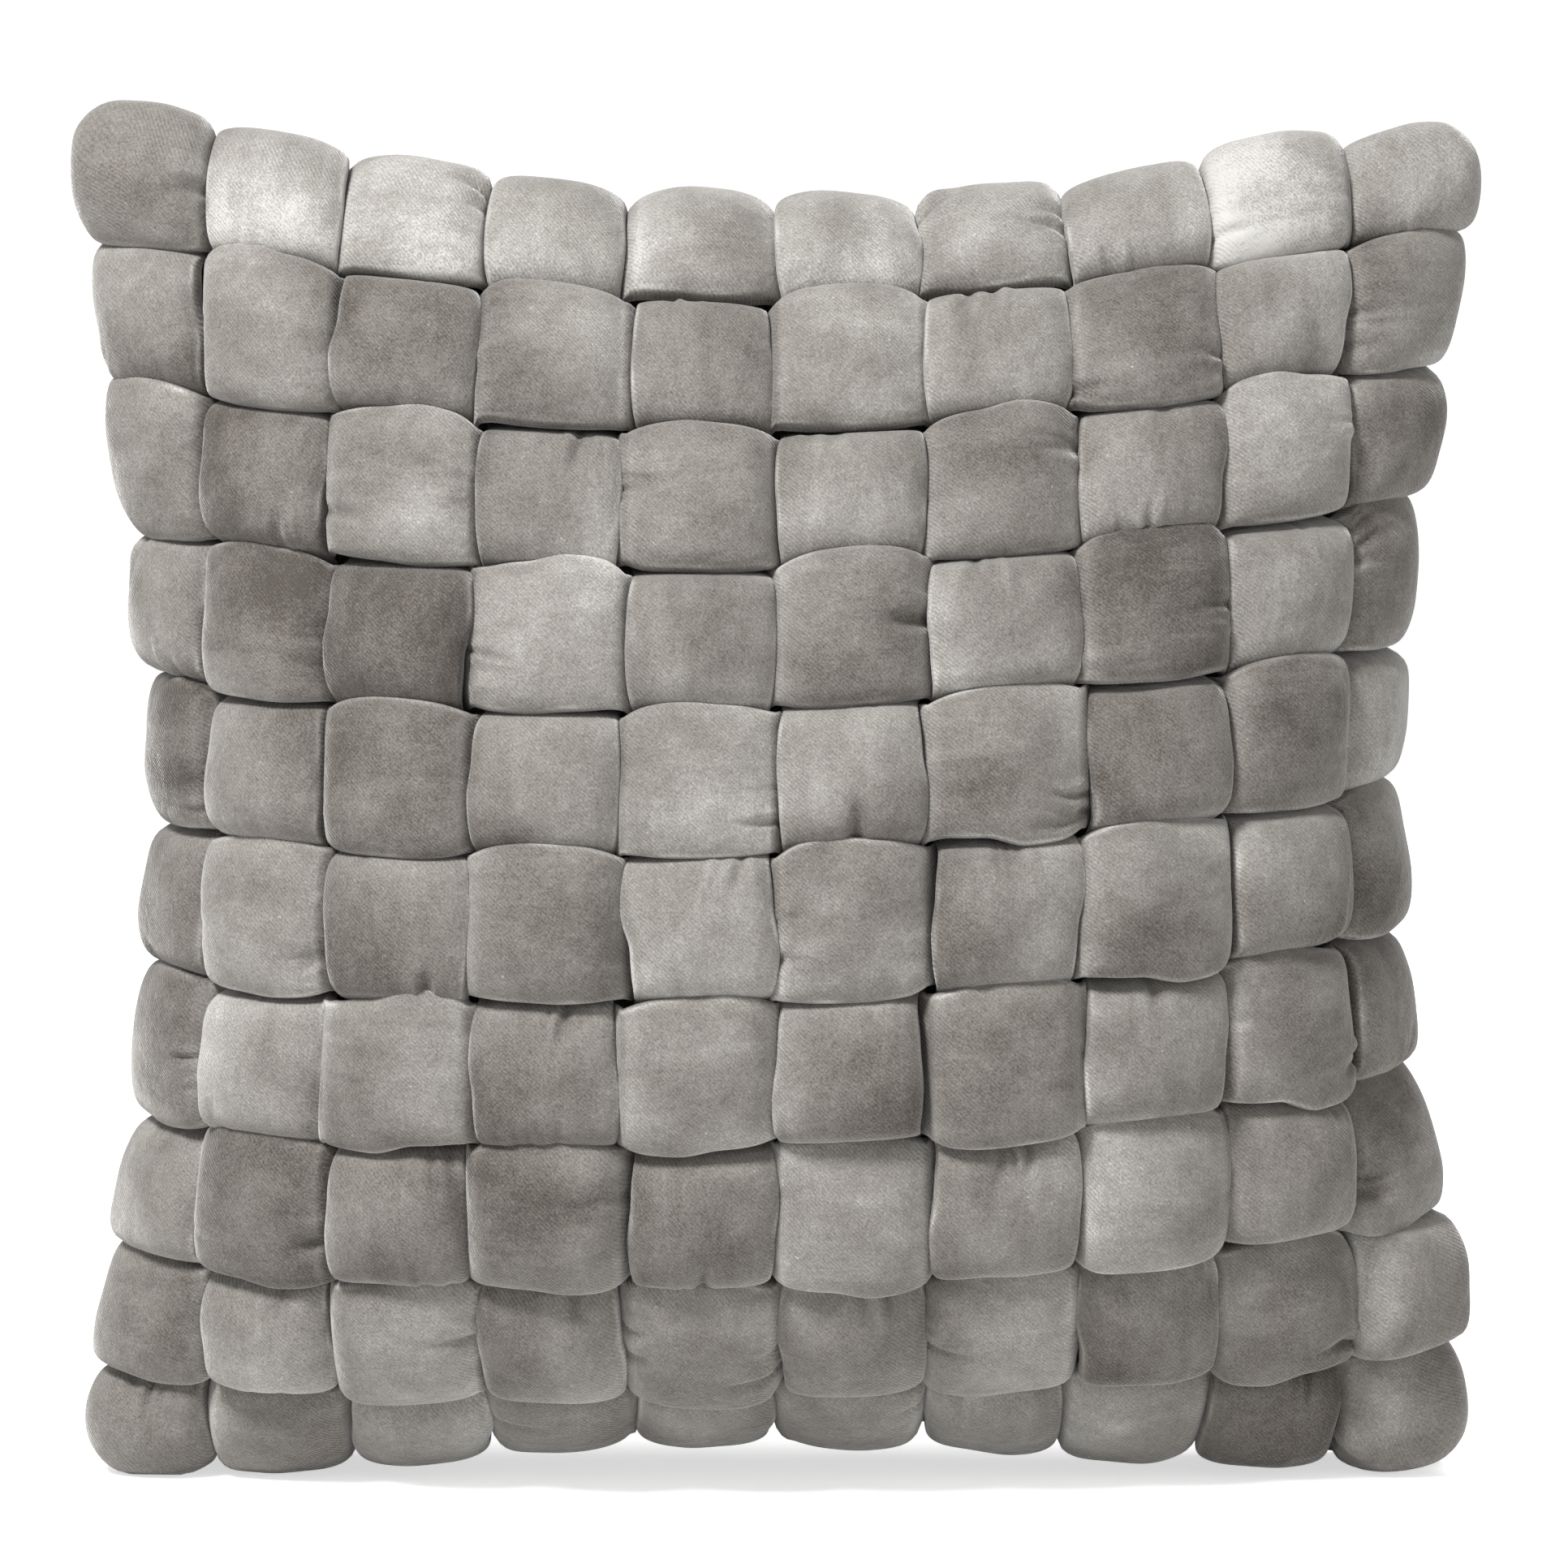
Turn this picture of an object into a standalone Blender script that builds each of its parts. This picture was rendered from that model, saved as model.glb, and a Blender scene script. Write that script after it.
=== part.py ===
"""Square throw pillow with a basket-woven velvet front, standing upright on its bottom edge.

Metres, +Z up, +X to the right of someone facing the woven front, and the front looks along -Y.
The origin is the centre of the bottom of the bounding box. Every cloth layer is a grid over the
same two numbers: u runs from -1 at the left seam to +1 at the right one, v from -1 at the bottom
seam to +1 at the top one.
"""
import math

import bmesh
import bpy
import numpy as np
from mathutils import Vector

# The weave
STRIPS = 10
PITCH = 2.0 / STRIPS
STRIP_THICKNESS = 0.0090
WEAVE_RISE = 0.0104
STRIP_HALF_WIDTH = 0.425 * PITCH
STRIP_HALF_FLAT = 0.25 * PITCH
CROSSING_HALF_FLAT = 0.20 * PITCH
STRIP_END = 0.9992
END_THINNING = 0.6

# Outline of the weave's middle layer at the seam
HALF_WIDTH_MIDDLE = 0.195
HALF_WIDTH_CORNER = 0.2325
TOP_MIDDLE = 0.404
TOP_CORNER = 0.4480
TOP_LEAN = 0.0045
EAR_DROP = 0.012
WEAVE_FLOOR = WEAVE_RISE + STRIP_THICKNESS / 2 - 0.002
CORNER_ROUNDING = 0.05
ROW_TILT = 0.045

# How far each layer bulges from the seam plane, which lies behind the middle of the whole
SEAM_Y = 0.0123
FRONT_DEPTH = 0.083
FRONT_ROLL = 0.016
LINING_DEPTH = 0.060
BACK_DEPTH = 0.076
BACK_ROLL = 0.012
TICKING_FRONT_DEPTH = 0.051
TICKING_BACK_DEPTH = 0.058
ROLL_WIDTH = 0.09
SEAM_END = 0.9992
BELLY_V = -0.2

# Cloth thicknesses and the places of the inner layers
LINING_CLOTH = 0.0012
BACK_CLOTH = 0.0016
TICKING_CLOTH = 0.0010
LINING_INSET = 0.011
LINING_FLOOR = WEAVE_FLOOR + STRIP_THICKNESS + 0.006
LINING_PLANE = 0.0016
BACK_PLANE = 0.0012
BACK_PRESS = 0.0070
TICKING_INSET = 0.021
TICKING_FLOOR = LINING_FLOOR + 0.008
INSERT_PLANE = 0.0048
LAYER_GAP = 0.0004
FILL_GAP = 0.0080
FILL_EDGE = 0.0003
FILL_END = 0.97
TICKING_GAP = 0.0020

# Zip in the back panel
ZIP_Z = 0.062
ZIP_Y = SEAM_Y + 0.060
ZIP_HALF_LENGTH = 0.150
ZIP_BAND = 0.016
ZIP_BLEND = 0.030
ZIP_WINDOW = 0.007
TAPE_WIDTH = 0.013
TAPE_THICKNESS = 0.0008
TEETH_WIDTH = 0.0018
TEETH_HEIGHT = 0.0020
TEETH_GAP = 0.0016
SLIDER_LENGTH = 0.012
SLIDER_WIDTH = 0.008
PLATE = 0.0012
PIVOT_HEIGHT = 0.0020
PIN_RADIUS = 0.0005
EYE_RADIUS = 0.0015
BORE_RADIUS = 0.0008
PULL_LENGTH = 0.024

VELVET = (0.345, 0.325, 0.300)
BACKING = (0.620, 0.590, 0.540)
TICKING = (0.800, 0.790, 0.760)
FIBRE = (0.860, 0.855, 0.840)
TAPE = (0.230, 0.215, 0.195)
METAL = (0.560, 0.540, 0.500)


def clear_scene():
    for item in list(bpy.data.objects):
        bpy.data.objects.remove(item, do_unlink=True)


def material(name, colour, roughness, metallic=0.0):
    made = bpy.data.materials.get(name) or bpy.data.materials.new(name)
    made.use_nodes = True
    shader = made.node_tree.nodes["Principled BSDF"]
    shader.inputs["Base Color"].default_value = (*colour, 1.0)
    shader.inputs["Roughness"].default_value = roughness
    shader.inputs["Metallic"].default_value = metallic
    return made


def add_object(name, mesh, look, location=(0.0, 0.0, 0.0), parent=None):
    made = bpy.data.objects.new(name, mesh)
    bpy.context.scene.collection.objects.link(made)
    made.location = location
    made.parent = parent
    mesh.materials.append(look)
    return made


def arc_tables(angle):
    """Running sums of cos and sin along an arc whose slope angle is angle(s), both ending at 1."""
    s = np.linspace(0.0, 1.0, 801)
    slope = angle(s)
    along = np.concatenate(([0.0], np.cumsum(np.cos((slope[1:] + slope[:-1]) / 2))))
    across = np.concatenate(([0.0], np.cumsum(np.sin((slope[1:] + slope[:-1]) / 2))))
    return s, along, across


# Across the pillow the cloth turns evenly towards both side seams. Upwards it leans back gently from
# the belly and only turns over at the top seam; downwards it curves under towards the floor.
SIDE_S, SIDE_ALONG, SIDE_ACROSS = arc_tables(lambda s: math.pi / 2 * s**2.1)
TOP_S, TOP_ALONG, TOP_ACROSS = arc_tables(lambda s: np.radians(28 * s**0.6 + 60 * s**9))
LOW_S, LOW_ALONG, LOW_ACROSS = arc_tables(lambda s: math.radians(86) * s**1.6)


def reach(s, along):
    """How far out a point at arc fraction s lies, as a share of the whole."""
    return float(np.interp(s, SIDE_S, along)) / along[-1]


def side_fall(u):
    return 1.0 - float(np.interp(abs(u), SIDE_S, SIDE_ACROSS)) / SIDE_ACROSS[-1]


def height_share(v):
    """Height of a point of the middle column, from 0 at the bottom seam to 1 at the top one."""
    upper = (1.0 - BELLY_V) * TOP_ALONG[-1]
    lower = (1.0 + BELLY_V) * LOW_ALONG[-1]
    if v >= BELLY_V:
        run = float(np.interp((v - BELLY_V) / (1.0 - BELLY_V), TOP_S, TOP_ALONG))
        rise = run * (1.0 - BELLY_V)
    else:
        run = float(np.interp((BELLY_V - v) / (1.0 + BELLY_V), LOW_S, LOW_ALONG))
        rise = -run * (1.0 + BELLY_V)
    return (lower + rise) / (lower + upper)


def height_fall(v):
    if v >= BELLY_V:
        return 1.0 - float(np.interp((v - BELLY_V) / (1.0 - BELLY_V), TOP_S, TOP_ACROSS)) / TOP_ACROSS[-1]
    return 1.0 - float(np.interp((BELLY_V - v) / (1.0 + BELLY_V), LOW_S, LOW_ACROSS)) / LOW_ACROSS[-1]


def edge_roll(s):
    """Quarter circle from 0 at a seam to 1 a short way inside it."""
    inside = min(1.0, (1.0 - abs(s)) / ROLL_WIDTH)
    return math.sqrt(max(0.0, 1.0 - (1.0 - inside) ** 2))


def soft_max(a, b, width=0.004):
    return max(a, b) + max(width - abs(a - b), 0.0) ** 2 / (4.0 * width)


def smooth_step(a, b, x):
    t = min(1.0, max(0.0, (x - a) / (b - a)))
    return t * t * (3.0 - 2.0 * t)


def cloth_point(u, v, depth, roll, plane=0.0, inset=0.0, floor=WEAVE_FLOOR, facing=-1.0):
    """A point of a cloth layer that bulges by depth + roll towards -Y or, with facing 1, +Y."""
    side = abs(u)
    middle = (HALF_WIDTH_MIDDLE - inset) * reach(side, SIDE_ALONG)
    edge = (HALF_WIDTH_CORNER - inset) * side
    blend = abs(v) ** 1.5
    x = math.copysign(middle * (1.0 - blend) + edge * blend, u)

    top = TOP_MIDDLE + (TOP_CORNER - TOP_MIDDLE) * side**1.8 - TOP_LEAN * u - inset
    bottom = floor - EAR_DROP * side**2
    even = 0.6 * side**1.5
    share = height_share(v) * (1.0 - even) + (v + 1.0) / 2.0 * even
    z = bottom + (top - bottom) * share + ROW_TILT * x * (1.0 - abs(v) ** 3)

    pull_in = 1.0 - CORNER_ROUNDING * (side * abs(v)) ** 8
    centre = (top + bottom) / 2.0
    x *= pull_in
    z = soft_max(centre + (z - centre) * pull_in, floor)
    bulge = roll * edge_roll(u) * edge_roll(v) + depth * side_fall(u) * height_fall(v)
    return Vector((x, SEAM_Y + plane + facing * bulge, z))


def layer_normal(point, u, v, facing):
    step = 0.004
    u0, u1 = max(-SEAM_END, u - step), min(SEAM_END, u + step)
    v0, v1 = max(-SEAM_END, v - step), min(SEAM_END, v + step)
    across = point(u1, v) - point(u0, v)
    up = point(u, v1) - point(u, v0)
    return (across.cross(up) * -facing).normalized()


def weave_point(u, v):
    return cloth_point(u, v, FRONT_DEPTH, FRONT_ROLL)


def warp_on_top(row, column):
    return (row + column) % 2 == 1


def strip_stations(on_top):
    """(position along the strip, rise, thickness) where it lies over or under each crossing."""
    stations = [(-STRIP_END, 0.0, STRIP_THICKNESS * END_THINNING)]
    for index, over in enumerate(on_top):
        middle = -1.0 + (index + 0.5) * PITCH
        rise = WEAVE_RISE if over else -WEAVE_RISE
        stations.append((middle - CROSSING_HALF_FLAT, rise, STRIP_THICKNESS))
        stations.append((middle + CROSSING_HALF_FLAT, rise, STRIP_THICKNESS))
    stations.append((STRIP_END, 0.0, STRIP_THICKNESS * END_THINNING))
    return stations


def finished_mesh(name, shape):
    """The closed shape as a mesh, with its faces turned outwards."""
    bmesh.ops.recalc_face_normals(shape, faces=shape.faces)
    if shape.calc_volume(signed=True) < 0:
        bmesh.ops.reverse_faces(shape, faces=shape.faces)
    mesh = bpy.data.meshes.new(name)
    shape.to_mesh(mesh)
    shape.free()
    return mesh


def tube_mesh(name, rings):
    """A closed solid through rings of points, each with the same number of points."""
    shape = bmesh.new()
    loops = [[shape.verts.new(point) for point in ring] for ring in rings]
    sides = len(loops[0])
    for first, second in zip(loops, loops[1:]):
        for k in range(sides):
            after = (k + 1) % sides
            shape.faces.new((first[k], first[after], second[after], second[k]))
    shape.faces.new(loops[0][::-1])
    shape.faces.new(loops[-1])
    return finished_mesh(name, shape)


def strip(name, centre, on_top, upright, look):
    """A padded velvet strip: a flattened tube that follows the weave's surface."""
    rings = []
    for along, rise, thickness in strip_stations(on_top):
        half = thickness / 2
        section = ((-STRIP_HALF_WIDTH, 0.0), (-STRIP_HALF_FLAT, -half), (STRIP_HALF_FLAT, -half),
                   (STRIP_HALF_WIDTH, 0.0), (STRIP_HALF_FLAT, half), (-STRIP_HALF_FLAT, half))
        ring = []
        for sideways, lift in section:
            u, v = (centre + sideways, along) if upright else (along, centre + sideways)
            normal = layer_normal(weave_point, u, v, -1.0)
            point = weave_point(u, v) + normal * (rise + lift)
            point.z = max(point.z, 0.0)
            ring.append(point)
        rings.append(ring)
    return add_object(name, tube_mesh(name, rings), look)


def weave(look):
    for column in range(1, STRIPS + 1):
        on_top = [warp_on_top(row, column) for row in range(STRIPS, 0, -1)]
        strip(f"warp_strip_{column:02d}", -1.0 + (column - 0.5) * PITCH, on_top, True, look)
    for row in range(1, STRIPS + 1):
        on_top = [not warp_on_top(row, column) for column in range(1, STRIPS + 1)]
        strip(f"weft_strip_{row:02d}", 1.0 - (row - 0.5) * PITCH, on_top, False, look)


def shell(name, point, facing, us, v_line, thickness, look):
    """A sheet of cloth over a grid of u, v, with its outer face on point and its inner one inside."""
    shape = bmesh.new()
    outer = []
    inner = []
    for u in us:
        outer_line = []
        inner_line = []
        for v in v_line(u):
            place = point(u, v)
            normal = layer_normal(point, u, v, facing)
            within = place - normal * thickness
            within.z = max(within.z, thickness)
            outer_line.append(shape.verts.new((place.x, place.y, max(place.z, 0.0))))
            inner_line.append(shape.verts.new(within))
        outer.append(outer_line)
        inner.append(inner_line)
    last = len(outer) - 1
    rows = len(outer[0]) - 1
    for i in range(last):
        for j in range(rows):
            for grid in (outer, inner):
                shape.faces.new((grid[i][j], grid[i + 1][j], grid[i + 1][j + 1], grid[i][j + 1]))
        for j in (0, rows):
            shape.faces.new((outer[i][j], outer[i + 1][j], inner[i + 1][j], inner[i][j]))
    for i in (0, last):
        for j in range(rows):
            shape.faces.new((outer[i][j], outer[i][j + 1], inner[i][j + 1], inner[i][j]))
    return add_object(name, finished_mesh(name, shape), look)


def grid_line(count, end=SEAM_END):
    """Positions from seam to seam, closer together towards the seams."""
    widest = math.radians(85)
    return [end * math.sin(widest * (2 * i / count - 1.0)) / math.sin(widest)
            for i in range(count + 1)]


def lining_point(u, v):
    return cloth_point(u, v, LINING_DEPTH, 0.0, LINING_PLANE, LINING_INSET, LINING_FLOOR)


def ticking_front_point(u, v):
    return cloth_point(u, v, TICKING_FRONT_DEPTH, 0.0, INSERT_PLANE, TICKING_INSET, TICKING_FLOOR)


def ticking_back_point(u, v):
    return cloth_point(u, v, TICKING_BACK_DEPTH, 0.0, INSERT_PLANE + TICKING_GAP, TICKING_INSET,
                       TICKING_FLOOR, facing=1.0)


def back_point(u, v):
    """The plain back, held straight and upright along the zip."""
    lift = -BACK_PRESS + (WEAVE_FLOOR + BACK_PRESS) * smooth_step(0.95, 1.0, -v)
    place = cloth_point(u, v, BACK_DEPTH, BACK_ROLL, BACK_PLANE, 0.0, lift, facing=1.0)
    away = max(smooth_step(ZIP_BAND, ZIP_BAND + ZIP_BLEND, abs(place.z - ZIP_Z)),
               smooth_step(ZIP_HALF_LENGTH + ZIP_BAND, ZIP_HALF_LENGTH + 0.046, abs(place.x)))
    place.y = ZIP_Y + (place.y - ZIP_Y) * away
    return place


def v_at_height(u, height):
    """Where column u of the back reaches a height, found by halving."""
    low, high = -0.95, 0.4
    for _ in range(40):
        middle = (low + high) / 2
        if back_point(u, middle).z < height:
            low = middle
        else:
            high = middle
    return low


def back_line(u, direction, end, rows):
    """The v positions of column u from the zip's opening, close together beside the zip."""
    closing = 1.0 - smooth_step(ZIP_HALF_LENGTH + 0.003, ZIP_HALF_LENGTH + 0.020,
                                abs(back_point(u, -0.5).x))
    lifts = (LAYER_GAP / 2 + ZIP_WINDOW * closing, ZIP_BAND, ZIP_BAND + ZIP_BLEND / 2)
    line = [v_at_height(u, ZIP_Z + direction * lift) for lift in lifts]
    return line + [line[-1] + (end - line[-1]) * k / rows for k in range(1, rows + 1)]


def back_panels(look):
    line = grid_line(22)
    shell("back_panel_upper", back_point, 1.0, line, lambda u: back_line(u, 1.0, SEAM_END, 11),
          BACK_CLOTH, look)
    shell("back_panel_lower", back_point, 1.0, line, lambda u: back_line(u, -1.0, -SEAM_END, 6),
          BACK_CLOTH, look)


def fill_point(u, v, facing, depth):
    plane = INSERT_PLANE + TICKING_GAP / 2 + facing * FILL_EDGE
    return cloth_point(u, v, depth, 0.0, plane, TICKING_INSET + FILL_GAP,
                       TICKING_FLOOR + FILL_GAP, facing)


def fill_solid(look):
    """The fibre fill: one closed cushion inside both ticking panels."""
    line = grid_line(12, FILL_END)
    shape = bmesh.new()
    front = []
    back = []
    for u in line:
        front.append([shape.verts.new(fill_point(u, v, -1.0, TICKING_FRONT_DEPTH - FILL_GAP))
                      for v in line])
        back.append([shape.verts.new(fill_point(u, v, 1.0, TICKING_BACK_DEPTH - FILL_GAP))
                     for v in line])
    last = len(line) - 1
    for i in range(last):
        for j in range(last):
            for grid in (front, back):
                shape.faces.new((grid[i][j], grid[i + 1][j], grid[i + 1][j + 1], grid[i][j + 1]))
        for j in (0, last):
            shape.faces.new((front[i][j], front[i + 1][j], back[i + 1][j], back[i][j]))
            shape.faces.new((front[j][i], front[j][i + 1], back[j][i + 1], back[j][i]))
    return add_object("insert_fill", finished_mesh("insert_fill", shape), look)


def box_mesh(name, low, high):
    shape = bmesh.new()
    bmesh.ops.create_cube(shape, size=1.0)
    for vert in shape.verts:
        for axis in range(3):
            vert.co[axis] = high[axis] if vert.co[axis] > 0 else low[axis]
    mesh = bpy.data.meshes.new(name)
    shape.to_mesh(mesh)
    shape.free()
    return mesh


def rod_mesh(name, radius, half_length, sides=16):
    """A round rod along Z, centred on the origin."""
    shape = bmesh.new()
    bmesh.ops.create_cone(shape, cap_ends=True, segments=sides, radius1=radius, radius2=radius,
                          depth=2 * half_length)
    mesh = bpy.data.meshes.new(name)
    shape.to_mesh(mesh)
    shape.free()
    return mesh


def combine(target, meshes, operation):
    """Boolean the meshes into target, each through its own hidden cutter."""
    for mesh in meshes:
        cutter = bpy.data.objects.new(mesh.name, mesh)
        bpy.context.scene.collection.objects.link(cutter)
        cutter.parent = target.parent
        cutter.location = target.location
        cutter.hide_render = True
        cutter.display_type = "WIRE"
        step = target.modifiers.new(mesh.name, "BOOLEAN")
        step.operation = operation
        step.solver = "EXACT"
        step.object = cutter


def zip_tapes(tape_look, teeth_look):
    tape_low = ZIP_Y - BACK_CLOTH - LAYER_GAP - TAPE_THICKNESS
    teeth_low = tape_low + TAPE_THICKNESS + LAYER_GAP
    teeth_end = ZIP_HALF_LENGTH - 0.004
    for name, sign in (("upper", 1.0), ("lower", -1.0)):
        near = sign * TEETH_GAP / 2
        far = sign * (TEETH_GAP / 2 + TAPE_WIDTH)
        low, high = sorted((ZIP_Z + near, ZIP_Z + far))
        add_object(f"zip_tape_{name}", box_mesh("tape", (-ZIP_HALF_LENGTH - 0.003, tape_low, low),
                   (ZIP_HALF_LENGTH + 0.003, tape_low + TAPE_THICKNESS, high)), tape_look)
        far = sign * (TEETH_GAP / 2 + TEETH_WIDTH)
        low, high = sorted((ZIP_Z + near, ZIP_Z + far))
        add_object(f"zip_teeth_{name}", box_mesh("teeth", (-teeth_end, teeth_low, low),
                   (teeth_end, teeth_low + TEETH_HEIGHT, high)), teeth_look)


def zip_stops(look):
    low_y = ZIP_Y - BACK_CLOTH
    for name, sign in (("open_end", -1.0), ("closed_end", 1.0)):
        near, far = sorted((sign * (ZIP_HALF_LENGTH - 0.0035), sign * (ZIP_HALF_LENGTH - 0.0005)))
        add_object(f"zip_stop_{name}", box_mesh("stop", (near, low_y, ZIP_Z - 0.0030),
                   (far, low_y + 0.0024, ZIP_Z + 0.0030)), look)


def zip_slider(look):
    """The slider, its two plates joined by a post between the rows of teeth, and its pull tab."""
    carrier = bpy.data.objects.new("slider_at_closed_end", None)
    bpy.context.scene.collection.objects.link(carrier)
    carrier.location = (ZIP_HALF_LENGTH - 0.0045 - SLIDER_LENGTH / 2, ZIP_Y, ZIP_Z)
    half = SLIDER_LENGTH / 2
    wide = SLIDER_WIDTH / 2
    top = TEETH_HEIGHT - BACK_CLOTH + LAYER_GAP
    bottom = -BACK_CLOTH - 2 * LAYER_GAP - TAPE_THICKNESS
    flange = -BACK_CLOTH
    slider = add_object("zip_slider", box_mesh("slider_plate", (-half, top, -wide),
                        (half, top + PLATE, wide)), look, parent=carrier)
    pivot = top + PLATE + PIVOT_HEIGHT
    pin = rod_mesh("slider_pin", PIN_RADIUS, wide - 0.0006, 12)
    for vert in pin.vertices:
        vert.co.y += pivot
    pieces = [
        box_mesh("slider_under_plate", (-half, bottom - PLATE, -wide), (half, bottom, wide)),
        box_mesh("slider_post", (-0.0015, bottom - PLATE / 2, -0.0005), (0.0015, top + PLATE / 2, 0.0005)),
        box_mesh("slider_flange_low", (-half, flange, -wide), (half, top + PLATE / 2, -wide + 0.0009)),
        box_mesh("slider_flange_high", (-half, flange, wide - 0.0009), (half, top + PLATE / 2, wide)),
        box_mesh("slider_lug_low", (-0.0015, top + PLATE / 2, -wide + 0.0002),
                 (0.0015, pivot + 0.0012, -wide + 0.0012)),
        box_mesh("slider_lug_high", (-0.0015, top + PLATE / 2, wide - 0.0012),
                 (0.0015, pivot + 0.0012, wide - 0.0002)),
        pin,
    ]
    combine(slider, pieces, "UNION")

    hinge = bpy.data.objects.new("pull_on_slider_pin", None)
    bpy.context.scene.collection.objects.link(hinge)
    hinge.parent = carrier
    hinge.location = (0.0, pivot, 0.0)
    eye_wide = wide - 0.0018
    pull = add_object("zip_pull_tab", rod_mesh("pull_eye", EYE_RADIUS, eye_wide, 20), look, parent=hinge)
    arm = box_mesh("pull_arm", (-0.010, -0.0005, -eye_wide), (-0.0010, 0.0005, eye_wide))
    blade = box_mesh("pull_blade", (-PULL_LENGTH, -0.0006, -0.0032), (-0.0085, 0.0006, 0.0032))
    combine(pull, [arm, blade], "UNION")
    combine(pull, [rod_mesh("pull_bore", BORE_RADIUS, wide, 16)], "DIFFERENCE")


def main():
    clear_scene()
    velvet = material("velvet", VELVET, 0.85)
    backing = material("backing_cloth", BACKING, 0.9)
    ticking = material("ticking", TICKING, 0.9)
    fibre = material("fibre_fill", FIBRE, 0.95)
    tape = material("zip_tape", TAPE, 0.85)
    teeth = material("zip_teeth", TAPE, 0.45)
    metal = material("zip_metal", METAL, 0.3, 1.0)
    weave(velvet)
    shell("front_lining", lining_point, -1.0, grid_line(18), lambda u: grid_line(18),
          LINING_CLOTH, backing)
    back_panels(velvet)
    shell("insert_ticking_front", ticking_front_point, -1.0, grid_line(14),
          lambda u: grid_line(14), TICKING_CLOTH, ticking)
    shell("insert_ticking_back", ticking_back_point, 1.0, grid_line(14),
          lambda u: grid_line(14), TICKING_CLOTH, ticking)
    fill_solid(fibre)
    zip_tapes(tape, teeth)
    zip_stops(metal)
    zip_slider(metal)


main()
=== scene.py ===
"""Looks of a square throw pillow: basket-woven velvet strips in front, plain velvet and a zip behind.

Metres, +Z up, the woven front looks along -Y. Every cloth layer is a grid over u, from -1 at the left
seam to +1 at the right one, and v, from -1 at the bottom seam to +1 at the top one.
"""
import math

import bmesh
import bpy
import numpy as np
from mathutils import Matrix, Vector


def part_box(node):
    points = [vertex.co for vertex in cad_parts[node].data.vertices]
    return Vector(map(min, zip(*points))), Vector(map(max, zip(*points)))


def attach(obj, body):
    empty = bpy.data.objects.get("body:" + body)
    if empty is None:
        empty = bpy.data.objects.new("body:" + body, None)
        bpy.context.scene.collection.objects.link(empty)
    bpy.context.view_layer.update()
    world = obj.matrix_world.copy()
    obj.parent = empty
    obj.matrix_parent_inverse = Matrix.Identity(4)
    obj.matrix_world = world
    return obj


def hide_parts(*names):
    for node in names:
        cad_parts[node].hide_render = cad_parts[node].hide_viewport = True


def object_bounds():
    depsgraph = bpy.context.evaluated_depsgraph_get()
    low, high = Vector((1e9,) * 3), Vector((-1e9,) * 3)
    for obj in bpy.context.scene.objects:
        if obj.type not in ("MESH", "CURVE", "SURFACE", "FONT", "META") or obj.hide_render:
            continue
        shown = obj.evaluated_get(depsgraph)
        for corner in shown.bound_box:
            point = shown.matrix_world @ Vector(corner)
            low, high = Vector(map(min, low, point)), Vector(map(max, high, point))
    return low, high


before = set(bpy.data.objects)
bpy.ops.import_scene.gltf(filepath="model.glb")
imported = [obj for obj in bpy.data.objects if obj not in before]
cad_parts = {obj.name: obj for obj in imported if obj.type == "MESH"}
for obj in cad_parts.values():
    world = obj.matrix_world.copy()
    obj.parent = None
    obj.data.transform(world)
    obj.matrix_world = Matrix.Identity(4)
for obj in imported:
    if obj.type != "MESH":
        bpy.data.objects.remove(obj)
CAD_BOX = [list(corner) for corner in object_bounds()]

# The outline of the seam between front and back, worked out from the frame's box
LOW, HIGH = CAD_BOX
HALF_WIDTH_CORNER = (HIGH[0] - LOW[0]) / 2 + 0.002
HALF_WIDTH_MIDDLE = HALF_WIDTH_CORNER - 0.0440
TOP_CORNER = HIGH[2] - 0.0045
TOP_MIDDLE = TOP_CORNER - 0.042

# The zip's place, from its CAD nodes; the seam's plane is 60 mm in front of the zip's face
TAPE_LOW, TAPE_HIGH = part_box("zip_tape_lower")
TAPE_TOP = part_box("zip_tape_upper")[1]
ZIP_Z = (TAPE_LOW[2] + TAPE_TOP[2]) / 2
ZIP_END = TAPE_HIGH[0]
ZIP_FACE = TAPE_HIGH[1] + 0.0020
SEAM_Y = ZIP_FACE - 0.060

# The stuffed shape, in metres, but CORNER_ROUNDING and ROW_TILT are shares, and ROLL_WIDTH, BELLY_V and
# SEAM_END are in u or v. FLAT_SCALE is the metres of cloth to one unit of u or v
WEAVE_FLOOR = 0.0148
TOP_LEAN = 0.0045
EAR_DROP = 0.012
BOTTOM_ARCH = 0.010
CORNER_ROUNDING = 0.05
ROW_TILT = 0.045
FRONT_DEPTH = 0.083
FRONT_ROLL = 0.016
BACK_DEPTH = 0.076
BACK_ROLL = 0.012
ROLL_WIDTH = 0.09
BELLY_V = -0.2
SEAM_END = 0.99998
FLAT_SCALE = 0.245

# The weave: ten strips each way, with widths and reaches in u or v, or as shares of a tile. WEAVE_RISE,
# PUFF, SQUASHED, SEWN, CROWN, FOLD_DEPTH, HILL_HEIGHT and SHINGLE are in metres
STRIPS = 10
PITCH = 2.0 / STRIPS
WEAVE_RISE = 0.0082
STATIONS_PER_TILE = 26
UPPER_SIDES = 68
LOWER_SIDES = 16
PUFF = 0.0150
SQUASHED = 0.0060
SEWN = 0.0030
SEWN_REACH = 0.055
WARP_HALF_WIDTH = 0.468 * PITCH
WEFT_HALF_WIDTH = 0.500 * PITCH
SEWN_HALF_WIDTH = 0.508 * PITCH
WARP_OVER = 0.50
WEFT_OVER = 0.565
TILE_BULGE = 0.06
TILE_PINCH = 0.05
DIVE = 0.25
CROWN = 0.0032
FOLD_DEPTH = 0.0048
FOLD_CHANCE = 0.5
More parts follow.
